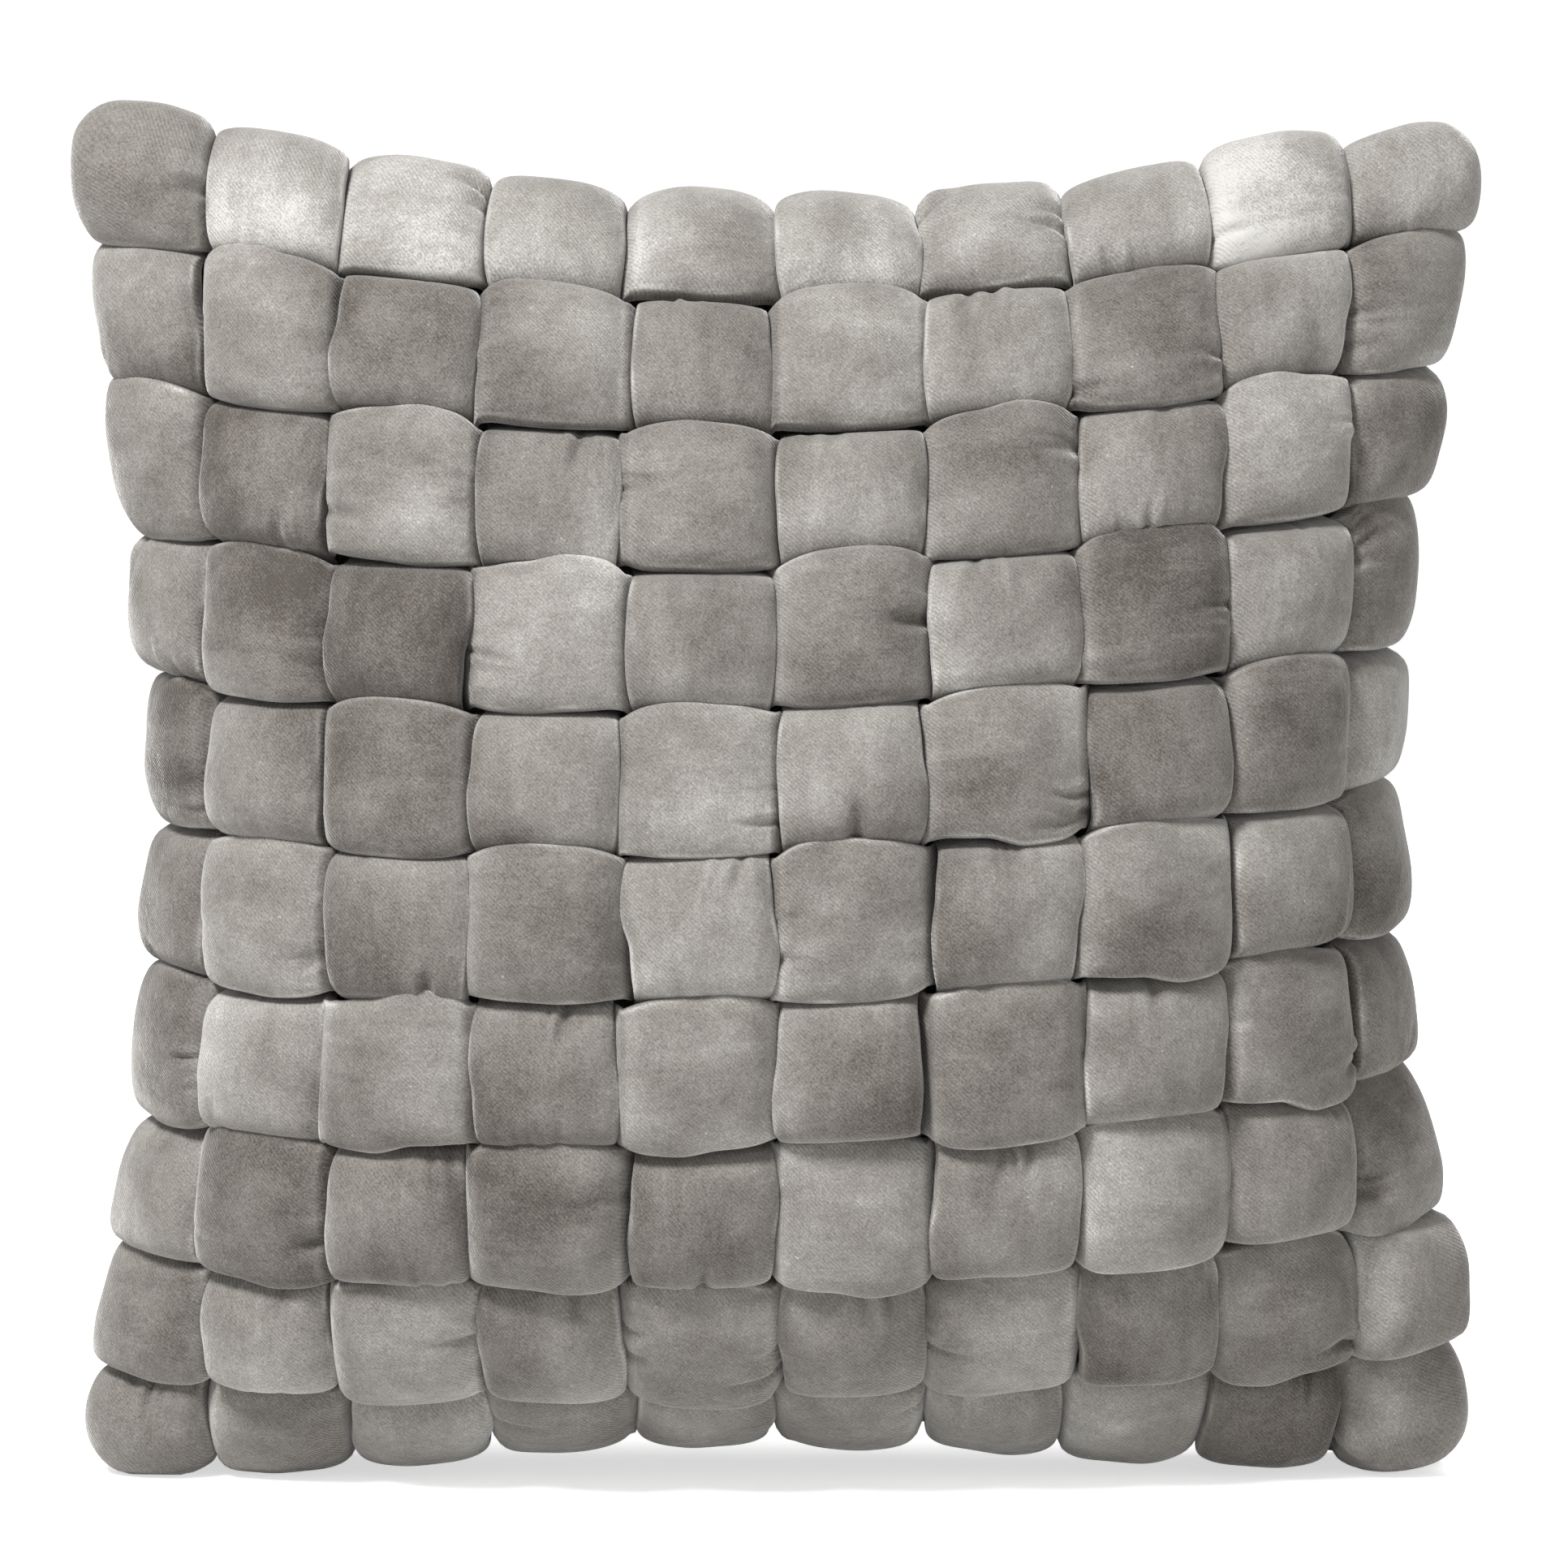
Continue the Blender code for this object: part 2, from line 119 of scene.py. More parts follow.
FOLDS_PER_GATHER = 5
HIGHEST_FOLD = 0.45
DEEPEST_FOLD = 1.1
HILL_HEIGHT = 0.0010
SHINGLE = 0.0026

# Sines of angles up to this one, in radians, crowd a grid's columns and rows towards the seams
EDGE_CROWDING = 1.48

# The back, the lining and the insert, in metres: sizes cut flat, then depths, gaps and thicknesses
BACK_PLANE = 0.0002
BACK_PRESS = 0.0025
BACK_CLOTH = 0.0016
LINING_DEPTH = 0.072
LINING_ROLL = 0.008
LINING_PLANE = 0.0016
LINING_INSET = 0.011
LINING_FLOOR = 0.028
TICKING_FRONT_DEPTH = 0.051
TICKING_BACK_DEPTH = 0.058
INSERT_PLANE = 0.0048
TICKING_INSET = 0.021
TICKING_FLOOR = 0.036
FILL_GAP = 0.004

# The zip, and how far from it the back stays flat before it swells, in metres
ZIP_BAND = 0.016
ZIP_BLEND = 0.036
ZIP_TOP_BLEND = 0.115
ZIP_SIDE_BLEND = 0.030
ZIP_WINDOW = 0.007
HEM_ROWS = 14
TAPE_OVERRUN = 0.012
TOOTH_PITCH = 0.0020
TEETH_GAP = 0.0004
STITCH_PITCH = 0.0042

# Tone of the velvet, from 0, dark, to 1, pale: most tiles, how much paler the top row is painted, as light
# falling from above, how far tiles differ, and how often one is brushed much darker
TILE_TONE = 0.46
TOP_ROW_PAINTED_LIGHT = 0.24
TONE_SPREAD = 0.15
DARK_TILE_CHANCE = 0.15
DARK_TILE_DROP = 0.18

# Tiles that stand prouder than the rest, by (row, column), in metres
PUFFY_TILES = {(9, 10): 0.0075, (1, 9): 0.0020, (1, 1): 0.0015, (8, 4): 0.0020, (8, 9): 0.0025}


def arc_tables(angle):
    """Running sums of cos and sin along an arc whose slope angle is angle(s)."""
    s = np.linspace(0.0, 1.0, 801)
    slope = angle(s)
    along = np.concatenate(([0.0], np.cumsum(np.cos((slope[1:] + slope[:-1]) / 2))))
    across = np.concatenate(([0.0], np.cumsum(np.sin((slope[1:] + slope[:-1]) / 2))))
    return s, along, across


SIDE_S, SIDE_ALONG, SIDE_ACROSS = arc_tables(lambda s: math.pi / 2 * s**2.1)
TOP_S, TOP_ALONG, TOP_ACROSS = arc_tables(lambda s: np.radians(28 * s**0.6 + 60 * s**9))
LOW_S, LOW_ALONG, LOW_ACROSS = arc_tables(lambda s: np.radians(82 * s**1.6))


def side_fall(u):
    """How far a point is bulged out, from 1 in the middle to 0 at the side seams."""
    return 1.0 - np.interp(np.abs(u), SIDE_S, SIDE_ACROSS) / SIDE_ACROSS[-1]


def height_share(v):
    """Height of a point of the middle column, from 0 at the bottom seam to 1 at the top one."""
    upper = (1.0 - BELLY_V) * TOP_ALONG[-1]
    lower = (1.0 + BELLY_V) * LOW_ALONG[-1]
    up = np.interp((v - BELLY_V) / (1.0 - BELLY_V), TOP_S, TOP_ALONG) * (1.0 - BELLY_V)
    down = np.interp((BELLY_V - v) / (1.0 + BELLY_V), LOW_S, LOW_ALONG) * (1.0 + BELLY_V)
    return (lower + np.where(v >= BELLY_V, up, -down)) / (lower + upper)


def height_fall(v):
    """How far a point is bulged out, from 1 at the belly to 0 at the top and bottom seams."""
    up = np.interp((v - BELLY_V) / (1.0 - BELLY_V), TOP_S, TOP_ACROSS) / TOP_ACROSS[-1]
    down = np.interp((BELLY_V - v) / (1.0 + BELLY_V), LOW_S, LOW_ACROSS) / LOW_ACROSS[-1]
    return 1.0 - np.where(v >= BELLY_V, up, down)


def edge_roll(s):
    """The round turn of the cloth at a seam: 1 inside ROLL_WIDTH, 0 at the seam."""
    inside = np.minimum(1.0, (1.0 - np.abs(s)) / ROLL_WIDTH)
    return np.sqrt(np.maximum(0.0, 1.0 - (1.0 - inside) ** 2))


def soft_max(a, b, width=0.004):
    """The larger of two heights, rounded where they cross."""
    return np.maximum(a, b) + np.maximum(width - np.abs(a - b), 0.0) ** 2 / (4.0 * width)


def smooth_step(a, b, x):
    """0 up to a and 1 from b on, with a smooth rise between them."""
    t = np.clip((x - a) / (b - a), 0.0, 1.0)
    return t * t * (3.0 - 2.0 * t)


def cloth(u, v, depth, roll, plane=0.0, inset=0.0, floor=WEAVE_FLOOR, facing=-1.0):
    """Points of a cloth layer that bulges by depth + roll towards -Y or, with facing 1, +Y."""
    u, v = np.broadcast_arrays(u, v)
    side = np.abs(u)
    middle = (HALF_WIDTH_MIDDLE - inset) * np.interp(side, SIDE_S, SIDE_ALONG) / SIDE_ALONG[-1]
    edge = (HALF_WIDTH_CORNER - inset) * side
    blend = np.abs(v) ** 1.5
    x = np.sign(u) * (middle * (1.0 - blend) + edge * blend)

    top = TOP_MIDDLE + (TOP_CORNER - TOP_MIDDLE) * side**1.8 - TOP_LEAN * u - inset
    bottom = floor + BOTTOM_ARCH * (1.0 - side**2) - EAR_DROP * side**2
    even = 0.6 * side**1.5
    share = height_share(v) * (1.0 - even) + (v + 1.0) / 2.0 * even
    z = bottom + (top - bottom) * share + ROW_TILT * x * (1.0 - np.abs(v) ** 3)

    pull_in = 1.0 - CORNER_ROUNDING * (side * np.abs(v)) ** 8
    centre = (top + bottom) / 2.0
    x = x * pull_in
    z = soft_max(centre + (z - centre) * pull_in, floor)
    bulge = roll * edge_roll(u) * edge_roll(v) + depth * side_fall(u) * height_fall(v)
    return np.stack((x, SEAM_Y + plane + facing * bulge, z), axis=-1)


def normals(point, u, v, facing):
    """Unit normals, away from the pillow, of the surface point(u, v)."""
    step = 0.004
    u, v = np.broadcast_arrays(u, v)
    u0, u1 = np.clip(u - step, -SEAM_END, SEAM_END), np.clip(u + step, -SEAM_END, SEAM_END)
    v0, v1 = np.clip(v - step, -SEAM_END, SEAM_END), np.clip(v + step, -SEAM_END, SEAM_END)
    across = point(u1, v) - point(u0, v)
    up = point(u, v1) - point(u, v0)
    normal = np.cross(across, up) * -facing
    return normal / np.linalg.norm(normal, axis=-1, keepdims=True)


def weave_surface(u, v):
    """The middle layer of the woven front."""
    return cloth(u, v, FRONT_DEPTH, FRONT_ROLL)


def into_seam(s):
    """1 over the pillow, rounding off to 0 where a padded strip is sewn into the seam."""
    inside = np.clip((1.0 - np.abs(s)) / SEWN_REACH, 0.0, 1.0)
    return np.sqrt(1.0 - (1.0 - inside) ** 2)


def wander(rng, spread, a, per_tile=1):
    """Random values that change smoothly along the strip, with per_tile of them to each tile."""
    values = rng.uniform(-spread, spread, STRIPS * per_tile + 3)
    place = (a + 1.0) / PITCH * per_tile + 0.5
    index = np.floor(place).astype(int)
    share = smooth_step(0.2, 0.8, place - index)
    return values[index] * (1.0 - share) + values[index + 1] * share


def along_strip(values, a):
    """Per-tile values blended over the joint between one tile and the next."""
    values = np.concatenate(([values[0]], values, [values[-1]]))
    place = (a + 1.0) / PITCH + 0.5
    index = np.clip(np.floor(place).astype(int), 0, STRIPS)
    share = smooth_step(0.40, 0.60, place - index)
    return values[index] * (1.0 - share) + values[index + 1] * share


def rumple(rng, a, sideways, along_count, across_count):
    """Smooth random hills, about -1 to 1, over a strip laid flat."""
    hills = rng.uniform(-1.0, 1.0, (along_count + 2, across_count + 2))
    x = (a + 1.0) / 2.0 * along_count + 0.0 * sideways
    y = (sideways + 1.0) / 2.0 * across_count + 0.0 * a
    i, j = np.floor(x).astype(int), np.floor(y).astype(int)
    p, q = smooth_step(0.0, 1.0, x - i), smooth_step(0.0, 1.0, y - j)
    low = hills[i, j] * (1.0 - q) + hills[i, j + 1] * q
    high = hills[i + 1, j] * (1.0 - q) + hills[i + 1, j + 1] * q
    return low * (1.0 - p) + high * p


def gathers(rng, a, sideways, over):
    """Narrow folds that run in from some of the places where the strip dives under a neighbour."""
    folds = 0.0 * (a * sideways)
    for tile in range(STRIPS):
        for end in (-1.0, 1.0):
            strength = rng.uniform(0.5, 1.0) if rng.uniform() < FOLD_CHANCE else 0.1
            middle = rng.uniform(-0.75, 0.75)
            for _ in range(FOLDS_PER_GATHER):
                place = middle + rng.uniform(-0.30, 0.30)
                length = rng.uniform(0.20, 0.50)
                slant = rng.uniform(-0.5, 0.5)
                width = rng.uniform(0.045, 0.090)
                depth = rng.uniform(-1.0, 0.7)
                edge = -1.0 + (tile + 0.5 + 0.5 * end) * PITCH
                if over[tile] < 0 or abs(edge) > 0.99:
                    continue
                inward = (edge - a) * end / PITCH
                along = smooth_step(length, 0.0, inward) * smooth_step(-0.12, 0.0, inward)
                ridge = np.exp(-(((sideways - place - slant * inward) / width) ** 2))
                folds = folds + strength * depth * along * ridge
    limit = np.where(folds > 0, HIGHEST_FOLD, DEEPEST_FOLD)
    return limit * np.tanh(folds / limit)


def strip_rings(centre, on_top, upright, tones, swell, rng):
    """Points, tones and folds of one padded strip, ring by ring along its length."""
    a = np.linspace(-SEAM_END, SEAM_END, STRIPS * STATIONS_PER_TILE + 1)
    near_seam = SEAM_END - PITCH / STATIONS_PER_TILE * np.array((0.55, 0.25, 0.08, 0.02))
    a = np.unique(np.concatenate((a, near_seam, -near_seam)))[:, None]
    angle = np.concatenate((np.linspace(0.0, math.pi, UPPER_SIDES, endpoint=False),
                            np.linspace(math.pi, 2.0 * math.pi, LOWER_SIDES, endpoint=False)))[None, :]
    sideways = np.cos(angle) + 0.0 * a
    tile = np.clip(((a + 1.0) / PITCH).astype(int), 0, STRIPS - 1)
    local = (a + 1.0) / PITCH - tile - 0.5
    turns = np.where(np.array(on_top), 1.0, -1.0)
    over = turns[tile]

    # over and under: flat-topped waves that dive steeply where they meet the crossing strips
    jitter = rng.uniform(-0.025, 0.025, STRIPS + 1)[tile + (local > 0)]
    reach_over = (WARP_OVER if upright else WEFT_OVER) + jitter
    reach_under = 0.25 / (1.0 - 0.25 / reach_over)
    wave = np.cos(math.pi / 2 * local / np.where(over > 0, reach_over, reach_under))
    rise = over * wave / np.sqrt(wave**2 + DIVE**2) * math.sqrt(1.0 + DIVE**2)
    high = 0.5 + 0.5 * rise
    sewn = into_seam(a)

    puff = PUFF * (1.0 + wander(rng, 0.14, a))
    thickness = (SQUASHED + (puff - SQUASHED) * high) * sewn + SEWN * (1.0 - sewn)
    drift = wander(rng, 0.030, a, 2) * PITCH * sewn
    twist = wander(rng, 0.0022, a)
    slope = wander(rng, 0.0016, a) * local * 2.0
    shingle = SHINGLE * smooth_step(0.2, -0.6, a if upright else np.full_like(a, centre))

    corner = 2.5 + 1.3 * high
    lift = np.sign(np.sin(angle) + 1e-9) * (1.0 - np.abs(sideways) ** corner) ** (1.0 / corner)
    upper = np.maximum(lift, 0.0) ** 0.5
    crown = CROWN * (1.0 - sideways**2) * (1.0 - (2.0 * local) ** 2) * high

    half_width = WARP_HALF_WIDTH if upright else WEFT_HALF_WIDTH
    left = 1.0 + wander(rng, 0.055, a, 2)
    right = 1.0 + wander(rng, 0.055, a, 2)
    half_width = half_width * np.where(sideways < 0, left, right)
    bulge = TILE_BULGE * (1.0 if upright else 1.0 + 1.6 * np.maximum(sideways, 0.0))
    middle = 1.0 - (2.0 * local) ** 2
    half_width = half_width * (1.0 + (bulge * middle - TILE_PINCH * np.abs(2.0 * local) ** 5) * high)

    folds = gathers(rng, a, sideways, turns)
    hills = rumple(rng, a, sideways, 3 * STRIPS, 3)
    raised = (WEAVE_RISE * rise + crown + (FOLD_DEPTH * folds + HILL_HEIGHT * hills) * upper * high
              + (twist * sideways + slope - shingle * (2.0 * local if upright else sideways)) * high
              + along_strip(np.array(swell), a) * upper * (1.0 - sideways**4))
    outwards = raised * sewn + thickness / 2 * lift
    half_width = half_width * sewn + SEWN_HALF_WIDTH * (1.0 - sewn)
    offset = drift + half_width * sideways
    across = np.clip(centre + offset, -SEAM_END, SEAM_END)
    outwards = outwards * into_seam(across)
    u, v = (across, a + 0.0 * across) if upright else (a + 0.0 * across, across)
    points = weave_surface(u, v) + normals(weave_surface, u, v, -1.0) * outwards[..., None]
    points[..., 2] = np.maximum(points[..., 2], 0.0)

    # the tone varies at random from tile to tile; the rolled edges, the dive edges and the raised folds get
    # a painted highlight, and the lower sides, the dives and the fold troughs get painted shade
    lean = rng.uniform(-0.15, 0.15, (2, STRIPS))[:, tile]
    tone = (along_strip(tones, a) + 0.10 * rumple(rng, a, sideways, 3 * STRIPS, 3)
            + lean[0] * sideways + lean[1] * local * 2.0)
    shoulder_highlight = np.exp(-(((lift - 0.56) / 0.11) ** 2)) * (0.6 + 0.6 * rumple(rng, a, sideways, 6 * STRIPS, 2))
    dive_edge_highlight = np.exp(-(((np.abs(local) - 0.45) / 0.025) ** 2)) * 0.4
    rim = np.maximum(shoulder_highlight, dive_edge_highlight * (lift > 0.3)) * high + 0.4 * np.maximum(folds, 0.0) * high
    painted_shade = smooth_step(0.42, 0.0, lift) + smooth_step(0.66, 0.30, high)
    painted_shade = painted_shade + 0.8 * np.maximum(-folds, 0.0)
    rim, painted_shade = rim * into_seam(across), painted_shade * into_seam(across)
    return points, {
        "tone": tone,
        "rim": rim,
        "painted_shade": np.clip(painted_shade, 0.0, 1.0) + 0.0 * tone,
        "along": a * FLAT_SCALE + 0.0 * sideways,
        "across": offset * FLAT_SCALE,
        "strip": np.full_like(tone, rng.uniform(0.0, 1.0)),
    }


def tube_mesh(name, points, attributes):
    """A tube through the rings of points, capped at both ends."""
    rings, sides = points.shape[:2]
    vertices = points.reshape(-1, 3)
    faces = []
    for i in range(rings - 1):
        for k in range(sides):
            after = (k + 1) % sides
            faces.append((i * sides + k, i * sides + after, (i + 1) * sides + after, (i + 1) * sides + k))
    first = len(vertices)
    vertices = np.concatenate((vertices, points[0].mean(0)[None], points[-1].mean(0)[None]))
    for k in range(sides):
        after = (k + 1) % sides
        faces.append((after, k, first))
        faces.append(((rings - 1) * sides + k, (rings - 1) * sides + after, first + 1))
    mesh = bpy.data.meshes.new(name)
    mesh.from_pydata(vertices.tolist(), [], faces)
    mesh.update()
    for label, values in attributes.items():
        layer = mesh.attributes.new(label, "FLOAT", "POINT")
        flat = np.asarray(values, dtype=float).reshape(-1)
        flat = np.concatenate((flat, [flat[0], flat[-1]]))
        layer.data.foreach_set("value", flat.astype(np.float32))
    mesh.shade_smooth()
    return mesh


def outward(mesh):
    """Turns the faces of a closed mesh to look out of it."""
    shape = bmesh.new()
    shape.from_mesh(mesh)
    bmesh.ops.recalc_face_normals(shape, faces=shape.faces)
    if shape.calc_volume(signed=True) < 0:
        bmesh.ops.reverse_faces(shape, faces=shape.faces)
    shape.to_mesh(mesh)
    shape.free()


def add_piece(name, mesh, look, body="pillow"):
    piece = bpy.data.objects.new(name, mesh)
    bpy.context.scene.collection.objects.link(piece)
    mesh.materials.append(look)
    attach(piece, body)
    return piece


# Materials


def new_material(name, colour, roughness, metallic=0.0):
    made = bpy.data.materials.new(name)
    made.use_nodes = True
    shader = made.node_tree.nodes["Principled BSDF"]
    shader.inputs["Base Color"].default_value = (*colour, 1.0)
    shader.inputs["Roughness"].default_value = roughness
    shader.inputs["Metallic"].default_value = metallic
    return made, made.node_tree.nodes, made.node_tree.links, shader


def maths(nodes, links, operation, first, second=None, clamp=False):
    node = nodes.new("ShaderNodeMath")
    node.operation = operation
    node.use_clamp = clamp
    for socket, value in zip(node.inputs, (first, second)):
        if value is None:
            continue
        if isinstance(value, (int, float)):
            socket.default_value = value
        else:
            links.new(value, socket)
    return node.outputs[0]


def ramp(nodes, links, value, stops):
    node = nodes.new("ShaderNodeValToRGB")
    while len(node.color_ramp.elements) < len(stops):
        node.color_ramp.elements.new(0.5)
    for element, (place, colour) in zip(node.color_ramp.elements, stops):
        element.position = place
        element.color = (*colour, 1.0)
    links.new(value, node.inputs["Fac"])
    return node.outputs["Color"]


def noise(nodes, links, where, scale, detail=3.0, roughness=0.55, distortion=0.0):
    node = nodes.new("ShaderNodeTexNoise")
    node.inputs["Scale"].default_value = scale
    node.inputs["Detail"].default_value = detail
    node.inputs["Roughness"].default_value = roughness
    node.inputs["Distortion"].default_value = distortion
    links.new(where, node.inputs["Vector"])
    return node.outputs["Fac"]


def attribute(nodes, name):
    node = nodes.new("ShaderNodeAttribute")
    node.attribute_name = name
    return node.outputs["Fac"]


VELVET_STOPS = (
    (0.00, (0.052, 0.044, 0.037)),
    (0.20, (0.101, 0.090, 0.079)),
    (0.50, (0.186, 0.174, 0.158)),
    (0.75, (0.282, 0.270, 0.252)),
    (1.00, (0.455, 0.443, 0.424)),
)


def velvet(name, cloudy=0.58):
    """Crushed velvet: pile brushed light and dark in clouds, a painted highlight along rolled edges and
    folds, painted shade in creases, with a fine nap.
    """
    made, nodes, links, shader = new_material(name, (0.35, 0.33, 0.31), 0.8)
    coords = nodes.new("ShaderNodeTexCoord").outputs["Object"]
    tone = attribute(nodes, "tone")
    rim = attribute(nodes, "rim")
    clouds = noise(nodes, links, coords, 24.0, 4.0, 0.6, 0.25)
    patches = noise(nodes, links, coords, 110.0, 3.0, 0.6, 0.2)
    mottle = noise(nodes, links, coords, 420.0, 2.0, 0.6, 0.3)
    grain = noise(nodes, links, coords, 1500.0, 2.0, 0.6)

    strip = nodes.new("ShaderNodeCombineXYZ")
    links.new(attribute(nodes, "along"), strip.inputs[0])
    links.new(attribute(nodes, "across"), strip.inputs[1])
    links.new(attribute(nodes, "strip"), strip.inputs[2])
    twill = nodes.new("ShaderNodeTexWave")
    twill.bands_direction = "DIAGONAL"
    twill.inputs["Scale"].default_value = 420.0
    twill.inputs["Distortion"].default_value = 1.2
    twill.inputs["Detail"].default_value = 1.0
    links.new(strip.outputs[0], twill.inputs["Vector"])

    brushed = nodes.new("ShaderNodeMapping")
    brushed.inputs["Scale"].default_value = (34.0, 150.0, 40.0)
    links.new(strip.outputs[0], brushed.inputs["Vector"])
    strokes = noise(nodes, links, brushed.outputs[0], 1.0, 4.0, 0.62, 0.4)

    def swing(value, amount):
        return maths(nodes, links, "MULTIPLY", maths(nodes, links, "SUBTRACT", value, 0.5), amount)

    mixed = maths(nodes, links, "ADD", tone, swing(clouds, cloudy))
    mixed = maths(nodes, links, "ADD", mixed, swing(patches, 0.30))
    mixed = maths(nodes, links, "ADD", mixed, swing(mottle, 0.16))
    mixed = maths(nodes, links, "ADD", mixed, swing(grain, 0.85))
    lint = maths(nodes, links, "GREATER_THAN", noise(nodes, links, coords, 620.0, 1.0, 0.5), 0.80)
    mixed = maths(nodes, links, "ADD", mixed, maths(nodes, links, "MULTIPLY", lint, 0.35))
    mixed = maths(nodes, links, "ADD", mixed, swing(twill.outputs["Fac"], 0.08))
    mixed = maths(nodes, links, "ADD", mixed, swing(strokes, 0.30))
    # painted highlight: the rim attribute lightens the rolled edges and raised folds
    mixed = maths(nodes, links, "ADD", mixed, maths(nodes, links, "MULTIPLY", rim, 0.42))
    # painted shade: darker low on the sides, in the dives and in the creases
    painted_shade = maths(nodes, links, "MULTIPLY", attribute(nodes, "painted_shade"), 0.22)
    mixed = maths(nodes, links, "SUBTRACT", mixed, painted_shade, clamp=True)
    colour = ramp(nodes, links, mixed, VELVET_STOPS)
    links.new(colour, shader.inputs["Base Color"])

    rough = maths(nodes, links, "ADD", 0.72, swing(patches, 0.3), clamp=True)
    links.new(rough, shader.inputs["Roughness"])
    shader.inputs["Sheen Weight"].default_value = 0.55
    shader.inputs["Sheen Roughness"].default_value = 0.38
    shader.inputs["Sheen Tint"].default_value = (0.93, 0.92, 0.90, 1.0)
    shader.inputs["Specular IOR Level"].default_value = 0.25

    nap = maths(nodes, links, "ADD", maths(nodes, links, "MULTIPLY", grain, 0.7),
                maths(nodes, links, "MULTIPLY", twill.outputs["Fac"], 0.3))
    fine = nodes.new("ShaderNodeBump")
    fine.inputs["Strength"].default_value = 0.60
    fine.inputs["Distance"].default_value = 0.0006
    links.new(nap, fine.inputs["Height"])
    soft = nodes.new("ShaderNodeBump")
    soft.inputs["Strength"].default_value = 0.35
    soft.inputs["Distance"].default_value = 0.003
    links.new(patches, soft.inputs["Height"])
    links.new(fine.outputs["Normal"], soft.inputs["Normal"])
    links.new(soft.outputs["Normal"], shader.inputs["Normal"])
    return made


def woven(name, colour, threads):
    """Plain-woven cotton with threads threads to the metre, faintly slubby, with a bumped weave."""
    made, nodes, links, shader = new_material(name, colour, 0.85)
    coords = nodes.new("ShaderNodeTexCoord").outputs["Object"]
    slubs = noise(nodes, links, coords, 160.0, 4.0, 0.6)
    cloth_place = nodes.new("ShaderNodeCombineXYZ")
    links.new(attribute(nodes, "along"), cloth_place.inputs[0])
    links.new(attribute(nodes, "across"), cloth_place.inputs[1])
    bands = []
    for direction in ("X", "Y"):
        wave = nodes.new("ShaderNodeTexWave")
        wave.bands_direction = direction
        wave.inputs["Scale"].default_value = threads / 6.0
        wave.inputs["Distortion"].default_value = 0.6
        links.new(cloth_place.outputs[0], wave.inputs["Vector"])
        bands.append(wave.outputs["Fac"])
    weft = maths(nodes, links, "MAXIMUM", bands[0], bands[1])
    shade = maths(nodes, links, "ADD", maths(nodes, links, "MULTIPLY", slubs, 0.6),
                  maths(nodes, links, "MULTIPLY", weft, 0.4))
    dark = tuple(c * 0.72 for c in colour)
    light = tuple(min(1.0, c * 1.12) for c in colour)
    links.new(ramp(nodes, links, shade, ((0.2, dark), (0.8, light))), shader.inputs["Base Color"])
    bump = nodes.new("ShaderNodeBump")
    bump.inputs["Strength"].default_value = 0.4
    bump.inputs["Distance"].default_value = 0.0005
    links.new(weft, bump.inputs["Height"])
    links.new(bump.outputs["Normal"], shader.inputs["Normal"])
    shader.inputs["Sheen Weight"].default_value = 0.15
    return made


def fibre(name, colour):
    """Tangled loose fibre."""
    made, nodes, links, shader = new_material(name, colour, 0.95)
    coords = nodes.new("ShaderNodeTexCoord").outputs["Object"]
    tangle = noise(nodes, links, coords, 220.0, 8.0, 0.75, 2.5)
    light = tuple(min(1.0, c * 1.05) for c in colour)
    links.new(ramp(nodes, links, tangle, ((0.25, tuple(c * 0.7 for c in colour)), (0.7, light))),
              shader.inputs["Base Color"])
    bump = nodes.new("ShaderNodeBump")
    bump.inputs["Strength"].default_value = 0.8
    bump.inputs["Distance"].default_value = 0.002
    links.new(tangle, bump.inputs["Height"])
    links.new(bump.outputs["Normal"], shader.inputs["Normal"])
    return made


def metal(name, colour):
    """Satin nickel plate with fine scratches and duller patches."""
    made, nodes, links, shader = new_material(name, colour, 0.3, 1.0)
    coords = nodes.new("ShaderNodeTexCoord").outputs["Object"]
    brushed = nodes.new("ShaderNodeMapping")
    brushed.inputs["Scale"].default_value = (300.0, 4000.0, 4000.0)
    links.new(coords, brushed.inputs["Vector"])
    scratches = noise(nodes, links, brushed.outputs[0], 1.0, 3.0, 0.7)
    dull = noise(nodes, links, coords, 350.0, 3.0, 0.6)
    rough = maths(nodes, links, "ADD", maths(nodes, links, "MULTIPLY", scratches, 0.25),
                  maths(nodes, links, "MULTIPLY", dull, 0.25))
    links.new(rough, shader.inputs["Roughness"])
    links.new(ramp(nodes, links, dull, ((0.3, tuple(c * 0.82 for c in colour)), (0.7, colour))),
              shader.inputs["Base Color"])
    bump = nodes.new("ShaderNodeBump")
    bump.inputs["Strength"].default_value = 0.15
    bump.inputs["Distance"].default_value = 0.0002
    links.new(scratches, bump.inputs["Height"])
    links.new(bump.outputs["Normal"], shader.inputs["Normal"])
    return made


def nylon(name, colour):
    """Moulded nylon coil, slightly glossy and uneven."""
    made, nodes, links, shader = new_material(name, colour, 0.4)
    coords = nodes.new("ShaderNodeTexCoord").outputs["Object"]
    uneven = noise(nodes, links, coords, 900.0, 3.0, 0.6)
    light = tuple(c * 1.3 for c in colour)
    links.new(ramp(nodes, links, uneven, ((0.3, tuple(c * 0.8 for c in colour)), (0.7, light))),
              shader.inputs["Base Color"])
    links.new(maths(nodes, links, "ADD", maths(nodes, links, "MULTIPLY", uneven, 0.3), 0.25),
              shader.inputs["Roughness"])
    return made


# Pieces


def tile_tones():
    """Tone of each tile, rows from the top: brushed at random, and paler in the top row as painted light
    from above.
    """
    rng = np.random.default_rng(11)
    tones = TILE_TONE + rng.uniform(-TONE_SPREAD, TONE_SPREAD, (STRIPS, STRIPS))
    tones = tones - DARK_TILE_DROP * (rng.uniform(size=(STRIPS, STRIPS)) < DARK_TILE_CHANCE)
    # painted light: the top row is made paler, as if lit more from above
    tones[0] += TOP_ROW_PAINTED_LIGHT
    return tones


